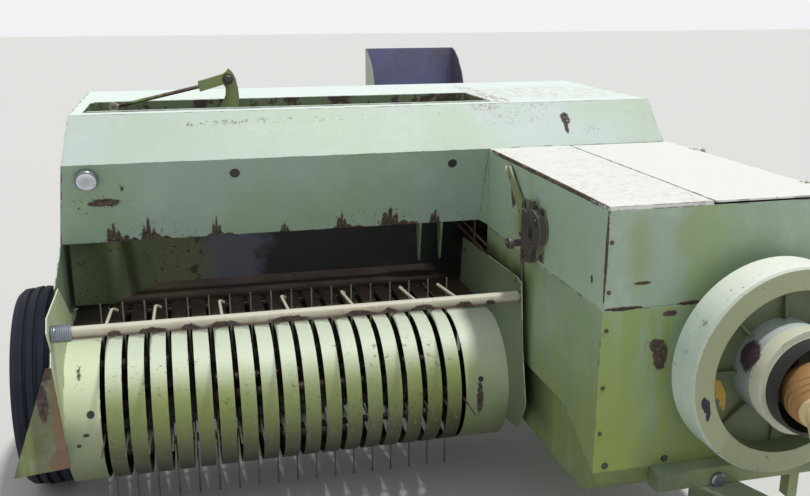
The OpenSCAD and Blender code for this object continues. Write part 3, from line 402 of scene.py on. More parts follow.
def fly_look(m):
    front = m.both(m.facing("Y", -0.6, -0.9), m.below("y", -150))
    m.over(m.both(front, 0.95), (0.34, 0.37, 0.22))
    recess = m.ramp(m.radius(DRIVE_X, DRIVE_Z), 0.2352, 0.2344)
    m.over(m.both(recess, 0.96), OLIVE_DARK)
    m.over(m.both(recess, m.ramp(m.noise(7, 4, 0.6), 0.5, 0.75), 0.6), (0.16, 0.18, 0.09))
    for x, z, w, h in ((-56, 722, 15, 20), (-44, 704, 14, 22), (-34, 684, 10, 24),
                       (-28, 664, 6, 20)):
        m.over(m.spot((x, -118, z), (w, 60, h), 0.5, 34, 0.05), YELLOW)
    for x, z, w, h in ((-134, 712, 9, 16), (-124, 700, 10, 20), (-118, 680, 7, 24)):
        m.over(m.spot((x, -176, z), (w, 60, h), 0.5, 40, 0.05), (0.012, 0.014, 0.03))
    m.over(m.both(m.ramp(m.noise(44, 6, 0.8, offset=(8, 1, 2)), 0.625, 0.64), 0.8), GRIME)
    m.rust(m.spot((-150, -140, 926), (22, 26, 12), 0.7, 40))


def drum_look(m):
    m.over(m.below("y", -190), (0.66, 0.67, 0.52))
    m.over(m.below("y", -244.5, 2), (0.018, 0.018, 0.02))
    m.over(m.ramp(m.radius(DRIVE_X, DRIVE_Z), 0.1235, 0.122), (0.014, 0.014, 0.015))
    m.scratches(0.8, (0.10, 0.10, 0.10), (6, 1, 6), 6.0, 0.6)
    m.rust(m.spot((-14, -160, 838), (44, 44, 46), 0.5, 18),
           (0.035, 0.02, 0.026), (0.085, 0.045, 0.06))


def chute_look(m):
    inner = m.facing("Y", -0.2, -0.6)
    m.over(m.both(inner, m.ramp(m.noise(4, 6, 0.7), 0.2, 0.6)), (0.19, 0.19, 0.38))
    m.over(m.both(inner, m.ramp(m.noise(60, 3, 0.7), 0.70, 0.73)), (0.42, 0.44, 0.5))
    m.over(m.spot((70, 3300, 1392), (42, 200, 26), 0.3, 15), (0.30, 0.38, 0.55))
    cheek = m.both(m.ramp(m.math("ABSOLUTE", m.normal("X")), 0.5, 0.8), m.below("x", -270))
    m.over(m.both(cheek, 0.85), (0.36, 0.46, 0.30))


def rear_look(m):
    inner = m.facing("Y", -0.1, -0.4)
    m.over(inner, (0.15, 0.18, 0.09))
    worn = m.both(inner, m.below("z", 955))
    m.over(m.both(worn, m.ramp(m.noise(60, 5, 0.7, offset=(3, 5, 5)), 0.60, 0.63)), SOOT)
    for scale, offset, lo, hi, colour in ((5, (0, 0, 0), -0.52, -0.40, (0.12, 0.125, 0.17)),
                                          (6, (4, 4, 4), -0.30, -0.20, NIGHT)):
        along = m.math("ADD", m.axis("X"), m.both(m.noise(scale, 5, 0.7, offset=offset), 0.3))
        m.over(m.both(worn, m.ramp(along, lo, hi)), colour)
    m.rust(m.both(worn, m.ramp(m.noise(10, 8, 0.75), 0.56, 0.62), 0.9),
           (0.035, 0.022, 0.02), (0.10, 0.055, 0.045))


def inside_shade_look(sign, colour):
    """Another colour on the faces that look to one side."""
    # Painted shade: the faces that look inwards, into the feeder, are darker
    return lambda m: m.over(m.facing("X", 0.3 * sign, 0.7 * sign), colour)


def top_look(m):
    specks = m.both(m.below("x", -46, 2), m.ramp(m.noise(48, 8, 0.8, offset=(6, 2, 6)), 0.50, 0.60),
                    m.ramp(m.noise(5, 3, 0.6), 0.35, 0.6))
    m.over(m.both(specks, 0.5), (0.42, 0.30, 0.26))


def slot_look(m):
    m.specks((60, 1450, 1363), (330, 260, 90), (0.48, 0.40, 0.36), 30, 0.50, 0.5)
    m.specks((-230, 1560, 1363), (40, 260, 90), (0.20, 0.13, 0.10), 40, 0.52, 0.8)
    m.specks((-250, 1240, 1363), (60, 120, 90), (0.24, 0.15, 0.12), 40, 0.50, 0.8)
    upright = m.ramp(m.math("ABSOLUTE", m.normal("Z")), 0.6, 0.3)
    m.over(m.both(upright, 0.95), (0.15, 0.21, 0.10))
    m.rust(m.both(upright, m.ramp(m.noise(7, 6, 0.7, offset=(2, 5, 2)), 0.52, 0.58)))


def link_look(m):
    rod = m.below("x", -1367, 2)
    m.over(rod, (0.15, 0.10, 0.075))
    m.over(m.below("x", -1490, 30), (0.20, 0.26, 0.10))
    m.rust(m.both(rod, m.ramp(m.noise(20, 6, 0.7), 0.45, 0.6)))
    m.over(m.below("x", -1655, 2), (0.42, 0.40, 0.30))


def gear_look(m):
    plate = m.band("x", -362.6, 1)
    m.over(m.both(plate, 0.9), (0.17, 0.21, 0.12))
    strap = m.both(m.band("x", -370, 1), m.below("x", -362.6, 1), m.band("z", 1000, 10),
                   m.band("y", 590, 8))
    m.over(m.both(strap, 0.9), (0.27, 0.31, 0.14))
    m.over(m.both(m.edges(0.004), 0.7), (0.30, 0.27, 0.24))
    m.rust(m.ramp(m.noise(26, 7, 0.75, offset=(2, 2, 5)), 0.56, 0.60))


def throat_look(m):
    m.over(m.ramp(m.noise(60, 5, 0.7, offset=(3, 5, 5)), 0.60, 0.63), SOOT)


def guard_look(m):
    m.rust(m.both(m.facing("Z", -0.1, -0.6), 0.8), (0.10, 0.045, 0.05), (0.2, 0.11, 0.11))


def tube_plastic():
    """The drive's guard: pale tubes, and a bell round the joint in a darker colour."""
    m = Mat("drive_guard")
    m.col = m.mix(m.ramp(m.noise(6, 6, 0.65), 0.35, 0.68), (0.70, 0.58, 0.32), (0.62, 0.49, 0.25))
    bell = m.spot((DRIVE_X, SWING_Y, DRIVE_Z), (123, 123, 123), 0.0, 18, 0.01)
    m.over(bell, (0.36, 0.20, 0.075))
    m.over(m.ramp(m.noise(9, 7, 0.7, offset=(3, 3, 3)), 0.58, 0.70), (0.30, 0.18, 0.08))
    return m.done()


TONGUES = [(-1682, 26, 936, 58), (-1640, 40, 930, 20), (-1565, 28, 932, 66), (-1535, 46, 930, 18),
           (-1335, 18, 936, 60), (-1320, 50, 930, 14), (-1094, 16, 932, 30), (-886, 20, 934, 52),
           (-860, 60, 930, 12), (-705, 36, 936, 62), (-650, 60, 930, 16), (-532, 20, 934, 44)]
M_FEEDER = paint(
    "feeder_paint", (0.30, 0.42, 0.29), (0.34, 0.45, 0.40), PALE, (0.30, 0.42, 0.22), 0.1, 0.6,
    rise=TONGUES, more=feeder_look, spots=front_spots(
        1050, 90,
        (-27, 1306, 18, 20, RUST, 0.7, 30), (-34, 1275, 7, 26, RUST, 0.7, 30),
        (-30, 1290, 6, 36, RUST, 0.8, 60), (-1640, 1130, 8, 12, RUST, 0.8, 50),
        (-1700, 1080, 60, 16, RUST, 1.0, 60)))
# Lower down the housing turns a darker yellow green: partly the paint's own tone, partly painted
# shade
M_HOUSING = paint(
    "housing_paint", SAGE_BLUE, SAGE, WHITE, YELLOW_GREEN, 0.1, 0.6,
    fades=[(0.90, 0.50, (0.22, 0.285, 0.105))], more=housing_look, spots=front_spots(
        0, 60,
        (-170, 782, 22, 46, RUST, 0.5, 26), (-186, 812, 20, 20, RUST, 0.6, 30),
        (-150, 905, 24, 8, RUST, 0.8, 40), (-290, 930, 60, 6, RUST, 0.7, 40),
        (-90, 931, 40, 6, RUST, 0.7, 40), (-240, 1000, 26, 5, RUST, 0.8, 60)) + [
        ((-354, 0, 1075), (5, 5, 140), RUST, 0.5, 26),
        ((SIDE_X, 76, 996), (60, 7, 12), BLACK, 0.4, 40),
        ((SIDE_X, 700, 1120), (60, 26, 60), RUST, 0.7, 20),
        ((SIDE_X, 640, 1010), (60, 60, 40), OLIVE, 0.6, 9)] + front_spots(
        0, 60,
        (-252, 1080, 40, 90, OLIVE, 0.7, 6), (-120, 1120, 30, 60, OLIVE, 0.7, 6)))
M_TOP = paint(
    "housing_top_paint", (0.74, 0.76, 0.72), (0.70, 0.72, 0.68), (0.78, 0.80, 0.76),
    (0.66, 0.68, 0.6), 0.08, 0.8, bleach_top=0.8, streaks=0.2, more=top_look,
    spots=[((-353, 480, 1218), (6, 480, 60), RUST, 0.6, 22)])
M_FTOP = paint(
    "feeder_top_paint", (0.66, 0.75, 0.71), (0.70, 0.78, 0.74), (0.72, 0.82, 0.77),
    (0.62, 0.68, 0.6), 0.1, 0.8, bleach_top=0.7, streaks=0.2, more=slot_look)
M_GREEN = paint("green_paint", *GREENS, 0.3, 0.6)
M_DARK_GREEN = paint(
    "dark_green_paint", (0.11, 0.145, 0.075), OLIVE, PALE, (0.16, 0.19, 0.06), 0.5, 0.6,
    bleach_top=0.35)
# The end walls' inner faces get painted shade
M_END = paint("feeder_end_paint", *GREENS, 0.35, 0.6, more=inside_shade_look(1, (0.21, 0.30, 0.20)))
M_INNER = paint("inner_end_paint", *GREENS, 0.3, 0.6, more=inside_shade_look(-1, (0.035, 0.04, 0.03)))
M_REAR = paint("feeder_rear_paint", *GREENS, 0.3, 0.5, more=rear_look)
M_THROAT = paint(
    "throat_paint", (0.16, 0.20, 0.10), (0.11, 0.14, 0.075), (0.12, 0.14, 0.1),
    (0.03, 0.035, 0.025), 0.3, 0.5, more=throat_look)
# The bands' fades: yellow green lower down, partly the paint's own tone and partly painted shade,
# then nearly black at the bottom, painted shade
M_BAND = paint(
    "band_paint", (0.52, 0.60, 0.40), (0.38, 0.46, 0.20), (0.66, 0.73, 0.60), (0.36, 0.44, 0.14),
    0.12, 0.25, more=band_look,
    fades=[(0.60, 0.47, (0.17, 0.215, 0.05)), (0.44, 0.30, (0.03, 0.035, 0.012))])
# The pickup's fade: darker towards the bottom, painted shade
M_PICK = paint(
    "pickup_paint", (0.56, 0.64, 0.44), (0.44, 0.53, 0.27), (0.70, 0.76, 0.64),
    (0.36, 0.44, 0.14), 0.25, 0.5, fades=[(0.54, 0.27, (0.115, 0.15, 0.06))], more=pickup_look,
    spots=front_spots(
        640, 90,
        (-1768, 483, 12, 12, BLACK, 0.03, 30), (-480, 470, 10, 10, BLACK, 0.03, 30),
        (-1786, 420, 9, 7, RUST, 0.9, 40), (-1810, 385, 7, 7, RUST, 0.9, 40),
        (-484, 400, 12, 60, RUST, 0.8, 22), (-1800, 600, 12, 30, RUST, 0.8, 40)))
M_DIVIDER = paint(
    "divider_paint", (0.11, 0.125, 0.055), (0.16, 0.185, 0.09), PALE, YELLOW_GREEN, 0.3, 0.8,
    spots=front_spots(
        500, 60,
        (-1846, 610, 9, 90, (0.20, 0.095, 0.05), 0.6, 22),
        (-1842, 470, 18, 110, (0.20, 0.10, 0.055), 0.6, 22),
        (-1845, 395, 30, 50, (0.17, 0.095, 0.055), 0.7, 22),
        (-1880, 600, 16, 60, RUST, 0.9, 30), (-1868, 690, 20, 30, RUST, 0.6, 20)))
# Rust under the tube, at some of the bands: band, shift and half length
M_CREAM = paint(
    "cream_paint", (0.47, 0.46, 0.34), (0.42, 0.40, 0.30), (0.60, 0.57, 0.47),
    (0.30, 0.17, 0.15), 0.75, 0.2, underside_shade=0.0, more=guard_look,
    spots=front_spots(540, 40, *[
        (BAND_X0 + BAND_PITCH * i + dx, 780, r, 16, RUST, 0.6, 30)
        for i, dx, r in ((0, 30, 20), (2, 0, 40), (3, 40, 30), (5, 0, 50), (8, -10, 60),
                         (11, 0, 50), (12, 30, 24), (14, 0, 44), (16, 0, 30), (17, 20, 16))]))
M_WHEEL = paint("rim_paint", PALE, SAGE, WHITE, OLIVE, 0.4, 0.7)
M_FLY = paint(
    "flywheel_paint", (0.54, 0.64, 0.57), (0.48, 0.57, 0.47), (0.86, 0.89, 0.82),
    (0.4, 0.44, 0.34), 0.1, 0.4, more=fly_look)
M_DRUM = paint(
    "drum_paint", (0.30, 0.37, 0.38), (0.36, 0.42, 0.40), (0.55, 0.62, 0.62), (0.2, 0.26, 0.26),
    0.25, 0.4, more=drum_look)
M_BELLY = paint(
    "belly_paint", (0.17, 0.225, 0.08), (0.13, 0.165, 0.065), (0.40, 0.46, 0.33), YELLOW_GREEN,
    0.25, 0.6, more=belly_look)
M_GEAR = paint(
    "gear_paint", (0.05, 0.045, 0.04), (0.085, 0.07, 0.06), (0.16, 0.15, 0.14),
    (0.07, 0.05, 0.045), 0.3, 0.0, bleach_top=0.4, rough=0.45, more=gear_look)
M_CHUTE = paint(
    "chute_steel", (0.11, 0.10, 0.14), (0.15, 0.14, 0.17), (0.2, 0.19, 0.22), (0.09, 0.07, 0.08),
    0.3, 0.5, bleach_top=0.3, more=chute_look)
M_LINK = paint("link_paint", *LEAF, 0.2, 0.6, more=link_look)
M_ARM = paint("arm_paint", *LEAF, 0.35, 0.6)

# Nearly black: greasy steel, darkened further as painted shade inside the feeder; the dark sheets
# behind the reel and under the deck use it too
M_DECK = plain("deck_steel", (0.03, 0.022, 0.018), 0.5, 0.3, (0.055, 0.04, 0.034), rust=0.3)
M_WORN = plain("worn_steel", (0.16, 0.17, 0.19), 0.35, 0.7, (0.07, 0.075, 0.08), rust=0.3)
M_RUST = plain("rusty_steel", (0.13, 0.055, 0.035), 0.85, 0.1, (0.22, 0.10, 0.05))
M_REEL = plain("reel_steel", (0.035, 0.026, 0.022), 0.6, 0.4, (0.07, 0.045, 0.035), rust=0.2)
M_TINE = plain("tine_wire", (0.20, 0.17, 0.15), 0.42, 0.6, (0.11, 0.09, 0.08), rust=0.2, scale=30)
M_GREASE = plain("greasy_iron", (0.055, 0.05, 0.045), 0.38, 0.3, (0.10, 0.075, 0.06), rust=0.15)
M_TYRE = plain("tyre_rubber", (0.004, 0.007, 0.019), 0.92, 0, (0.009, 0.012, 0.022), bump=0.2,
               scale=9)
M_RIB = plain("rib_paint", (0.10, 0.125, 0.06), 0.6, 0, (0.14, 0.17, 0.085))
M_LAMP = plain("lamp_glass", (0.66, 0.68, 0.74), 0.12, 0.2, (0.8, 0.82, 0.86), bump=0.02)
M_PRIMER = plain("primer_rod", (0.16, 0.075, 0.07), 0.6, 0.1, (0.10, 0.05, 0.045), rust=0.2)
M_ZINC = plain("zinc_steel", (0.30, 0.33, 0.38), 0.35, 0.8, (0.2, 0.22, 0.25), rust=0.15)
# Painted shade: the black of the cups behind holes
M_HOLE_SHADE = plain("hole_shade_black", (0.022, 0.022, 0.024), 0.6, 0, (0.05, 0.045, 0.04), rust=0.1)
M_TUBE = tube_plastic()

LOOK = {
    "feeder_front": M_FEEDER, "housing_front": M_HOUSING, "housing_side_right": M_HOUSING,
    "housing_side_left": M_HOUSING, "housing_rear": M_GREEN, "housing_top": M_TOP,
    "service_lid": M_TOP, "housing_belly": M_BELLY, "gearbox": M_GREASE, "plunger": M_WORN,
    "front_underframe": M_DARK_GREEN, "flywheel": M_FLY, "flywheel_drum": M_DRUM,
    "drive_stub": M_GREASE, "driveline": M_TUBE, "drawbar": M_DARK_GREEN,
    "drawbar_stand": M_DARK_GREEN, "jack": M_WORN, "wheel_right_tyre": M_TYRE,
    "wheel_left_tyre": M_TYRE, "wheel_right_rim": M_WHEEL, "wheel_left_rim": M_WHEEL,
    "axle": M_DARK_GREEN, "lamp": M_LAMP, "feeder_top": M_FTOP, "feeder_end": M_END,
    "feeder_inner_end": M_INNER, "feeder_rear": M_REAR, "feeder_deck": M_DECK,
    "throat_wall": M_THROAT, "feeder_forks": M_GREEN, "chamber_floor": M_DARK_GREEN,
    "chamber_right": M_GREEN, "chamber_left": M_GREEN, "chamber_roof": M_DARK_GREEN,
    "star_wheel": M_RUST, "needle_yoke": M_RUST, "knotter_frame": M_DARK_GREEN,
    "knotter_hood": M_GREEN, "hood_hinge": M_DARK_GREEN, "twine_box": M_GREEN,
    "twine_lid": M_GREEN, "tension_frame": M_DARK_GREEN, "chute": M_CHUTE,
    "pickup_bands": M_BAND, "pickup_frame": M_PICK, "crop_divider": M_DIVIDER, "reel": M_REEL,
    "reel_tines": M_TINE, "wind_guard": M_CREAM, "guard_fingers": M_CREAM,
    "rocker_bracket": M_DARK_GREEN, "rocker_arm": M_ARM, "link_rod": M_LINK,
    "lift_gear": M_GEAR,
}
for name, obj in NODES.items():
    obj.data.materials.clear()
    obj.data.materials.append(LOOK[name])


# ---------------------------------------------------------------- added pieces

def frame_of(axis):
    w = Vector(axis).normalized()
    u = w.orthogonal().normalized()
    return u, w.cross(u), w


def circle(bm, centre, u, v, r, count):
    """Vertices round a centre in metres, r in millimetres."""
    return [bm.verts.new(centre + (u * math.cos(a) + v * math.sin(a)) * (r / 1000))
            for a in (2 * math.pi * k / count for k in range(count))]


def turned(bm, profile, at, axis, segs):
    """Revolves (radius, height) pairs in mm about an axis from a local point."""
    u, v, w = frame_of(axis)
    base = L(*at)
    rings = []
    for r, h in profile:
        c = base + w * (h / 1000)
        rings.append(circle(bm, c, u, v, r, segs) if r > 0 else [bm.verts.new(c)])
    for a, b in zip(rings, rings[1:]):
        for k in range(segs):
            n = (k + 1) % segs
            quad = [a[k % len(a)], a[n % len(a)], b[n % len(b)], b[k % len(b)]]
            quad = list(dict.fromkeys(quad))
            if len(quad) > 2:
                bm.faces.new(quad)
    for ring in (rings[0], rings[-1]):
        if len(ring) > 2:
            bm.faces.new(ring)


def swept(bm, points, r, sides):
    """A round wire of radius r mm along local points."""
    pts = [L(*p) for p in points]
    u = None
    rings = []
    for k, p in enumerate(pts):
        t = (pts[min(k + 1, len(pts) - 1)] - pts[max(k - 1, 0)]).normalized()
        if u is None:
            u = t.orthogonal().normalized()
        u = (u - t * u.dot(t)).normalized()
        rings.append(circle(bm, p, u, t.cross(u), r, sides))
    for a, b in zip(rings, rings[1:]):
        for j in range(sides):
            n = (j + 1) % sides
            bm.faces.new([a[j], a[n], b[n], b[j]])
    bm.faces.new(rings[0])
    bm.faces.new(rings[-1])


def slab(bm, x0, x1, outline):
    """A flat body between two local x, with the given y, z outline."""
    ends = [[bm.verts.new(L(x, y, z)) for y, z in outline] for x in (x0, x1)]
    bm.faces.new(ends[0])
    bm.faces.new(list(reversed(ends[1])))
    for k in range(len(outline)):
        n = (k + 1) % len(outline)
        bm.faces.new([ends[0][k], ends[1][k], ends[1][n], ends[0][n]])


def helix(start, axis, radius, length, turns, per):
    """Local points of a coil, per of them to a turn, lengths in mm."""
    u, v, w = frame_of(axis)
    n = int(turns * per)
    out = []
    for k in range(n + 1):
        a = 2 * math.pi * turns * k / n
        p = Vector(start) + w * (length * k / n) + (u * math.cos(a) + v * math.sin(a)) * radius
        out.append(tuple(p))
    return out


def bolt(bm, at, axis, r=8.0, h=6.0):
    """A hexagon head with a washer, seated at a local point and looking along the axis."""
    turned(bm, [(0, 0), (r * 1.75, 0), (r * 1.75, 1.6), (r * 1.05, 1.8)], at, axis, 20)
    turned(bm, [(r * 1.1, 1.2), (r * 1.1, h - 1.2), (r * 0.9, h), (0, h)], at, axis, 6)


def add(name, bm, body, mat):
    bmesh.ops.recalc_face_normals(bm, faces=bm.faces)
    mesh = bpy.data.meshes.new(name)
    bm.to_mesh(mesh)
    bm.free()
    for poly in mesh.polygons:
        poly.use_smooth = True
    mesh.set_sharp_from_angle(angle=math.radians(38))
    mesh.materials.append(mat)
    obj = bpy.data.objects.new(name, mesh)
    bpy.context.scene.collection.objects.link(obj)
    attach(obj, body)


def middle_x(name):
    """The local x of a node's middle."""
    lo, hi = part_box(name)
    off = Vector((CHAMBER_X, FRONT_Y, 0))
    lo, hi = (Vector(lo) - off) * 1000, (Vector(hi) - off) * 1000
    return (lo.x + hi.x) / 2


def swung(x, y, z):
    """A point of the parked drawbar's own frame, in local millimetres."""
    return (DRIVE_X + x * math.cos(SWING) - y * math.sin(SWING),
            SWING_Y + x * math.sin(SWING) + y * math.cos(SWING), z)


# Double coils of the spring tines, round their bars
BAR_RADIUS = 150
bm = bmesh.new()
for quarter in range(4):
    a = math.radians(90 * quarter)
    cy = REEL_Y - math.sin(a) * BAR_RADIUS
    cz = REEL_Z + math.cos(a) * BAR_RADIUS
    for i in range(BAND_N + 1):
        x = BAND_X0 + (i - 0.5) * BAND_PITCH
        for side in (-1, 1):
            coil = helix((x + side * 3.5, cy, cz), (side, 0, 0), 15.2, 15, 2.2, 10)
            swept(bm, coil, 2.6, 6)
add("tine_coils", bm, "reel", M_TINE)

# Return spring at the wind guard's outer end
bm = bmesh.new()
swept(bm, helix((-1841, GUARD_Y, GUARD_Z), (1, 0, 0), 23.5, 54, 8.5, 18), 3.6, 8)
add("guard_spring", bm, "wind_guard", M_ZINC)

# Bolt heads of the lift gear, the housing's front, the chamber's flanges and side, the deck
# and the housing's right side
bm = bmesh.new()
for y, z in ((427, 956), (427, 1102), (578, 954), (578, 1100)):
    bolt(bm, (-361, y, z), (-1, 0, 0), 7)
for x in (-318, -130, 60, 240):
    bolt(bm, (x, 0, 456), (0, -1, 0), 6, 5)
for x in (-340, 340):
    for z in (560, 700, 870, 980, 1120):
        bolt(bm, (x, 0, z), (0, -1, 0), 3.6, 3)
for side in (-1, 1):
    for y in (1940, 2300, 2700, 3040, 3480):
        for z in (640, 770, 900):
            bolt(bm, (side * 250, y, z), (0, -1, 0), 7)
            bolt(bm, (side * 250, y + 8, z), (0, 1, 0), 7)
for y in (1000, 1200, 1400, 1600, 1800):
    bolt(bm, (236, y, 930), (1, 0, 0), 7)
for x in (-480, -1000, -1500):
    bolt(bm, (x, 1260, 490), (0, 0, 1), 8)
for at in ((-385, 423, 1078), (-385, 520, 945), (-421, 566, 972)):
    bolt(bm, at, (-1, 0, 0), 8)
add("chassis_bolts", bm, "chassis", M_GREASE)

# Lamp: rim and ribbed lens
LAMP = (-1748, 977, 1170)
out = -Vector(SLANT)
bm = bmesh.new()
turned(bm, [(31.5, 15), (31.5, 19), (35.5, 20), (37.5, 17), (37.5, 2), (36, 0)], LAMP, out, 48)
add("lamp_rim", bm, "chassis", M_ZINC)
bm = bmesh.new()
profile = [(0, 21.9)]
for k in range(1, 9):
    profile += [(k * 3.4 - 1.7, 26.2 - k * 0.3), (k * 3.4, 22.3)]
turned(bm, profile + [(30.9, 22)], LAMP, out, 48)
add("lamp_lens", bm, "chassis", M_LAMP)

# Two tie rods beside the feed opening
bm = bmesh.new()
swept(bm, [(-359, 950, 825), (-359, 1200, 841), (-359, 1484, 860)], 5.5, 10)
swept(bm, [(-359, 950, 858), (-359, 1200, 876), (-359, 1484, 896)], 4.5, 10)
for y, z in ((1290, 848), (1120, 870)):
    turned(bm, [(0, 0), (9, 0), (9, 16), (0, 16)], (-359, y, z), (0, 1, 0.065), 6)
add("tie_rods", bm, "chassis", M_PRIMER)

# Flywheel: ribs behind the rim, and the drum's bolts
bm = bmesh.new()
for k in range(8):
    a = math.radians(45 * k + 1)
    along = Vector((math.cos(a), 0, math.sin(a)))
    across = Vector((-math.sin(a), 0, math.cos(a)))
    corners = []
    for r, h in ((139, 0), (139, 22), (228, 9), (233, 0)):
        for t in (-4, 4):
            p = Vector((DRIVE_X, -109, DRIVE_Z)) + along * r + across * t + Vector((0, -h, 0))
            corners.append(bm.verts.new(L(*p)))
    for q in ((0, 2, 4, 6), (1, 7, 5, 3), (0, 1, 3, 2), (2, 3, 5, 4), (4, 5, 7, 6), (6, 7, 1, 0)):
        bm.faces.new([corners[j] for j in q])
add("flywheel_ribs", bm, "flywheel", M_RIB)
bm = bmesh.new()
for k in range(6):
    a = math.radians(60 * k + 30)
    bolt(bm, (DRIVE_X + 48 * math.cos(a), -124, DRIVE_Z + 48 * math.sin(a)), (0, -1, 0), 8, 9)
add("flywheel_bolts", bm, "flywheel", M_GREASE)

# Wheels: bolts, hub ring and valve; the grease cap stays with the axle
for body in ("wheel_right", "wheel_left"):
    wx = middle_x(body + "_rim")
    out = -1 if wx < 0 else 1
    bm = bmesh.new()
    for side in (-1, 1):
        for k in range(5):
            a = math.radians(72 * k)
            bolt(bm, (wx + side * 4, WHEEL_Y + 92 * math.cos(a), WHEEL_Z + 92 * math.sin(a)),
                 (side, 0, 0), 9, 12)
        turned(bm, [(58, 4), (62, 6), (62, 10), (56, 12)], (wx, WHEEL_Y, WHEEL_Z),
               (side, 0, 0), 40)
    swept(bm, [(wx + out * dx, WHEEL_Y, WHEEL_Z + dz)
               for dx, dz in ((4, 178), (20, 176), (42, 170))], 4, 8)
    add(body + "_bolts", bm, body, M_ZINC)
    bm = bmesh.new()
    turned(bm, [(40, 0), (40, 6), (36, 14), (20, 20), (0, 21)], (wx + out * 64, WHEEL_Y, WHEEL_Z),
           (out, 0, 0), 28)
    add(body + "_cap", bm, "chassis", M_GREASE)

# Bale tension springs and the nuts on their posts
POSTS = [(side * 258, y) for y in (3145, 3405) for side in (-1, 1)]
bm = bmesh.new()
for x, y in POSTS:
    swept(bm, helix((x, y, 1014), (0, 0, 1), 21, 84, 7, 14), 4.5, 8)
add("tension_springs", bm, "chassis", M_RUST)
bm = bmesh.new()
for x, y in POSTS:
    turned(bm, [(24, 0), (26, 3), (26, 8), (0, 8)], (x, y, 1100), (0, 0, 1), 24)
    turned(bm, [(15, 8), (15, 22), (9, 24)], (x, y, 1100), (0, 0, 1), 6)
    turned(bm, [(15, 0), (15, 14), (0, 14)], (x, y, 487.5), (0, 0, 1), 6)
add("tension_nuts", bm, "chassis", M_GREASE)

# Washer, nut and pin at the top of the feeder's rocker
bm = bmesh.new()
px, pz = -1252, 1448
turned(bm, [(0, 0), (21, 0), (21, 2.5), (15, 3)], (px, 1404.5, pz), (0, -1, 0), 28)
turned(bm, [(15, 2), (15, 10), (12.5, 12), (0, 12)], (px, 1404.5, pz), (0, -1, 0), 6)
swept(bm, [(px + 4, 1440, 1476), (px + 5, 1440, 1482)], 4, 8)
add("rocker_nut", bm, "rocker_arm", M_GREASE)

# Drawbar: hitch wear ring, jack collars, crank knob and bracket bolts
bm = bmesh.new()
turned(bm, [(17, -1), (34, -1), (34, 2), (31, 4), (17, 4)], swung(0, -1290, 342), (0, 0, 1), 40)
for z in (122, 590):
    turned(bm, [(29, 0), (36, 0), (37, 3), (37, 21), (36, 24), (29, 24)],
           swung(107, -950, z), (0, 0, 1), 36)
turned(bm, [(8, -8), (13, -4), (15, 6), (13, 16), (7, 21), (0, 22)],
       swung(227, -950, 697), (0, 0, 1), 24)
for y in (-976, -924):
    bolt(bm, swung(74, y, 352), (0, 0, 1), 8)
for y in (-330, -190, -1130):
    bolt(bm, swung(0, y, 358), (0, 0, 1), 9)
add("drawbar_fittings", bm, "drawbar", M_GREASE)

# Swing pin: washer and split pin; knob on the beam
bm = bmesh.new()
turned(bm, [(19, -1), (31, -1), (31, 4), (19, 4)], (DRIVE_X, SWING_Y, 378), (0, 0, 1), 32)
swept(bm, [(DRIVE_X + dx, SWING_Y + dy, z) for dx, dy, z in (
    (-26, 0, 385), (0, 0, 385), (26, 0, 385), (31, 4, 385), (35, 11, 384))], 2.6, 8)
add("swing_pin_fittings", bm, "chassis", M_ZINC)
bm = bmesh.new()
turned(bm, [(0, -2), (20, -2), (23, 2), (23, 10), (19, 14), (0, 16)], (18, -50, 396),
       (0, -1, 0), 32)
add("beam_knob", bm, "chassis", M_ZINC)

# Driveline: ridges round the bell and rings on the tubes
drive = Vector((math.cos(DRIVE_DIP) * math.sin(SWING), -math.cos(DRIVE_DIP) * math.cos(SWING),
                -math.sin(DRIVE_DIP)))
joint = (DRIVE_X, SWING_Y, DRIVE_Z)
bm = bmesh.new()
for r, h in ((78, 60), (71, 76), (64, 90)):
    turned(bm, [(r - 3, h - 4), (r + 2.6, h - 3), (r + 1.6, h + 2), (r - 6, h + 3)],
           joint, drive, 48)
for h in (300, 560):
    turned(bm, [(37, h), (41, h + 1), (41, h + 13), (37, h + 14)], joint, drive, 40)
add("drive_rings", bm, "driveline", M_TUBE)

# Curved tips and collars of the guard's fingers
bm = bmesh.new()
for i in (0, 2, 5, 8, 11, 14, 16):
    x = BAND_X0 + i * BAND_PITCH
    swept(bm, [(x, 842, 753), (x, 852, 751.5), (x + 3, 864, 749), (x + 9, 875, 744),
               (x + 16, 883, 737)], 4.9, 8)
    turned(bm, [(4, 15), (8, 15), (8, 22), (4, 22)], (x, GUARD_Y, GUARD_Z), (0, 1, -0.115), 14)
add("finger_tips", bm, "wind_guard", M_CREAM)

# Dark sheet behind the reel and dark apron under the deck's front edge: they stand for the shade
# there, so the floor doesn't show through the gaps between the bands
bm = bmesh.new()
slab(bm, -1845, -380,
     [(1236, 590), (1238, 590), (1238, 181), (1231, 170), (1229, 172), (1236, 182)])
add("reel_shade_sheet", bm, "pickup", M_DECK)
bm = bmesh.new()
slab(bm, -1740, -380, [(1242.5, 636.5), (1258, 636.5), (1258, 634.5), (1244.5, 634.5),
                       (1244.5, 560), (1242.5, 560)])
add("deck_shade_apron", bm, "chassis", M_DECK)

# Screws on the bands and the end plate, and the reel's end bearings
bm = bmesh.new()
for i in range(BAND_N):
    for y in (1090, 1200):
        turned(bm, [(7.5, -1), (7.5, 0.8), (5.5, 2.6), (0, 3.4)],
               (BAND_X0 + i * BAND_PITCH, y, 641), (0, 0, 1), 16)
for x, out in ((-1850, -1), (-375, 1)):
    turned(bm, [(21, 0), (66, 0), (66, 3), (40, 5), (36, 8), (21, 8)], (x, REEL_Y, REEL_Z),
           (out, 0, 0), 40)
    for k in range(4):
        a = math.radians(90 * k + 45)
        bolt(bm, (x + out * 2, REEL_Y + 54 * math.cos(a), REEL_Z + 54 * math.sin(a)),
             (out, 0, 0), 5, 6)
for y, z in ((550, 788), (590, 833), (1150, 788), (1150, 638)):
    turned(bm, [(8, -1), (8, 1), (5, 3.4), (0, 4)], (-379, y, z), (-1, 0, 0), 16)
add("pickup_screws", bm, "pickup", M_GREASE)
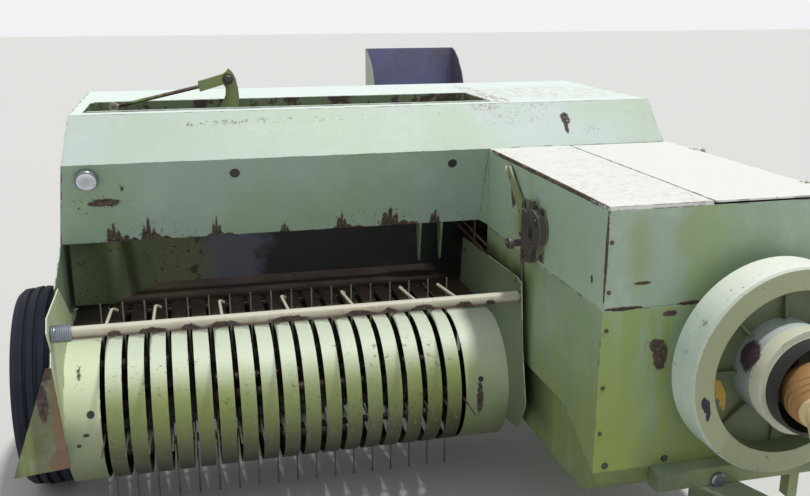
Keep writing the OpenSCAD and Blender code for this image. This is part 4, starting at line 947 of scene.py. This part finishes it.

# Sheet edges: rolled lips of the feeder's slot, a gusset beside the housing, and black cups behind
# holes that stand for the shade seen through them
bm = bmesh.new()
for y in (1173, 1474):
    swept(bm, [(-1748, y, 1363.5), (-1000, y, 1363.5), (-288, y, 1363.5)], 4.2, 8)
swept(bm, [(-286, 1175, 1363.5), (-286, 1472, 1363.5)], 4.2, 8)
add("slot_lips", bm, "chassis", M_FTOP)
bm = bmesh.new()
slab(bm, -355.8, -352, [(960.5, 1216), (1056.5, 930), (1050, 930), (960.5, 935)])
add("seam_gusset", bm, "chassis", M_HOUSING)
bm = bmesh.new()
# Black cups behind the two holes: painted shade seen through them
for x in (-1266, -489):
    turned(bm, [(15.5, -3), (19, 3.5), (19, 16), (0, 16)], (x, 978, 1167), SLANT, 32)
add("hole_shade_cups", bm, "chassis", M_HOLE_SHADE)
bm = bmesh.new()
turned(bm, [(0, -1), (10, -1), (10, 3), (7, 5), (0, 5)], (-368, 742, 1186), (-1, 0, 0), 24)
add("strap_pin", bm, "chassis", M_LAMP)

# Knotters: two toothed cam gears, a twine disc, a bill hook and a spring for each
STEPS = 72
gear = []
for k in range(STEPS):
    r = 72 if (k // 2) % 2 else 64
    t = 2 * math.pi * k / STEPS
    gear.append((2150 + r * math.cos(t), 1090 + r * math.sin(t)))
bm = bmesh.new()
for x in (-100, 100):
    for side in (-1, 1):
        slab(bm, x + side * 26, x + side * 26 + side * 8, gear)
    turned(bm, [(0, 0), (34, 0), (36, 2), (36, 5), (30, 7), (36, 9), (36, 12), (0, 14)],
           (x - 12, 2098, 1030), (0.2, -1, 0), 30)
    swept(bm, [(x + 14, 2110, 1040), (x + 14, 2088, 1036), (x + 8, 2070, 1024),
               (x + 2, 2066, 1004), (x + 6, 2062, 990)], 6, 10)
    swept(bm, helix((x + 34, 2105, 1010), (0, 0, 1), 9, 54, 9, 12), 2, 6)
add("knotter_parts", bm, "chassis", M_GREASE)

# Handles on the covers, and eyes for the twine
bm = bmesh.new()
swept(bm, [(-60, 2000, 1213), (-60, 2000, 1230), (-52, 2000, 1238), (52, 2000, 1238),
           (60, 2000, 1230), (60, 2000, 1213)], 5, 10)
add("hood_handle", bm, "knotter_hood", M_ZINC)
bm = bmesh.new()
swept(bm, [(530, 2415, 1009), (530, 2415, 1028), (530, 2424, 1036), (530, 2526, 1036),
           (530, 2535, 1028), (530, 2535, 1009)], 5, 10)
add("twine_lid_handle", bm, "twine_lid", M_ZINC)
bm = bmesh.new()
for y in (1000, 1300, 1600, 1840):
    turned(bm, [(6, 0), (11, 1), (13, 5), (11, 9), (6, 10)], (247, y, 700), (0, 1, 0), 20)
    swept(bm, [(235, y + 5, 700), (242, y + 5, 700)], 4, 8)
add("twine_eyes", bm, "chassis", M_ZINC)


# ---------------------------------------------------------------- light, floor, camera

# The world lights the object plainly; what sees it directly, or in metal or glass, sees it pale
world = bpy.data.worlds.new("studio")
bpy.context.scene.world = world
world.use_nodes = True
nodes, links = world.node_tree.nodes, world.node_tree.links
light = nodes["Background"]
light.inputs["Color"].default_value = (0.95, 0.97, 1.0, 1)
light.inputs["Strength"].default_value = 0.52
seen = nodes.new("ShaderNodeBackground")
seen.inputs["Color"].default_value = (0.88, 0.89, 0.9, 1)
seen.inputs["Strength"].default_value = 1.0
path = nodes.new("ShaderNodeLightPath")
ray = path.outputs["Is Camera Ray"]
for kind in ("Is Glossy Ray", "Is Transmission Ray"):
    either = nodes.new("ShaderNodeMath")
    either.operation = "MAXIMUM"
    links.new(ray, either.inputs[0])
    links.new(path.outputs[kind], either.inputs[1])
    ray = either.outputs[0]
mixer = nodes.new("ShaderNodeMixShader")
links.new(ray, mixer.inputs[0])
links.new(light.outputs[0], mixer.inputs[1])
links.new(seen.outputs[0], mixer.inputs[2])
links.new(mixer.outputs[0], nodes["World Output"].inputs[0])

sun = bpy.data.lights.new("soft_sun", "SUN")
sun.energy = 2.25
sun.angle = math.radians(5)
sun.color = (1.0, 0.98, 0.94)
sun_obj = bpy.data.objects.new("soft_sun", sun)
bpy.context.scene.collection.objects.link(sun_obj)
sun_obj.rotation_euler = Vector((-0.22, 0.14, -1.0)).to_track_quat("-Z", "Y").to_euler()

floor_mesh = bpy.data.meshes.new("floor")
bm = bmesh.new()
bmesh.ops.create_grid(bm, x_segments=1, y_segments=1, size=40)
bm.to_mesh(floor_mesh)
bm.free()
floor = bpy.data.objects.new("floor", floor_mesh)
bpy.context.scene.collection.objects.link(floor)
ground = bpy.data.materials.new("floor")
ground.use_nodes = True
surface = ground.node_tree.nodes["Principled BSDF"]
surface.inputs["Base Color"].default_value = (0.62, 0.62, 0.61, 1)
surface.inputs["Roughness"].default_value = 0.9
floor_mesh.materials.append(ground)

# The camera, as fitted to the photo: focal length and picture width in pixels
FOCAL_PX, WIDTH_PX = 898.764, 810
cam = bpy.data.cameras.new("camera")
cam_obj = bpy.data.objects.new("camera", cam)
bpy.context.scene.collection.objects.link(cam_obj)
cam.sensor_fit = "HORIZONTAL"
cam.sensor_width = 36
cam.lens = FOCAL_PX / WIDTH_PX * cam.sensor_width
cam.clip_end = 200
cam_obj.location = L(-1423.5, -2104.6, 1752.4)
yaw, pitch = 0.241, 0.274
look = Vector((math.sin(yaw) * math.cos(pitch), math.cos(yaw) * math.cos(pitch),
               -math.sin(pitch)))
cam_obj.rotation_euler = look.to_track_quat("-Z", "Y").to_euler()
bpy.context.scene.camera = cam_obj
bpy.context.scene.view_settings.view_transform = "Standard"
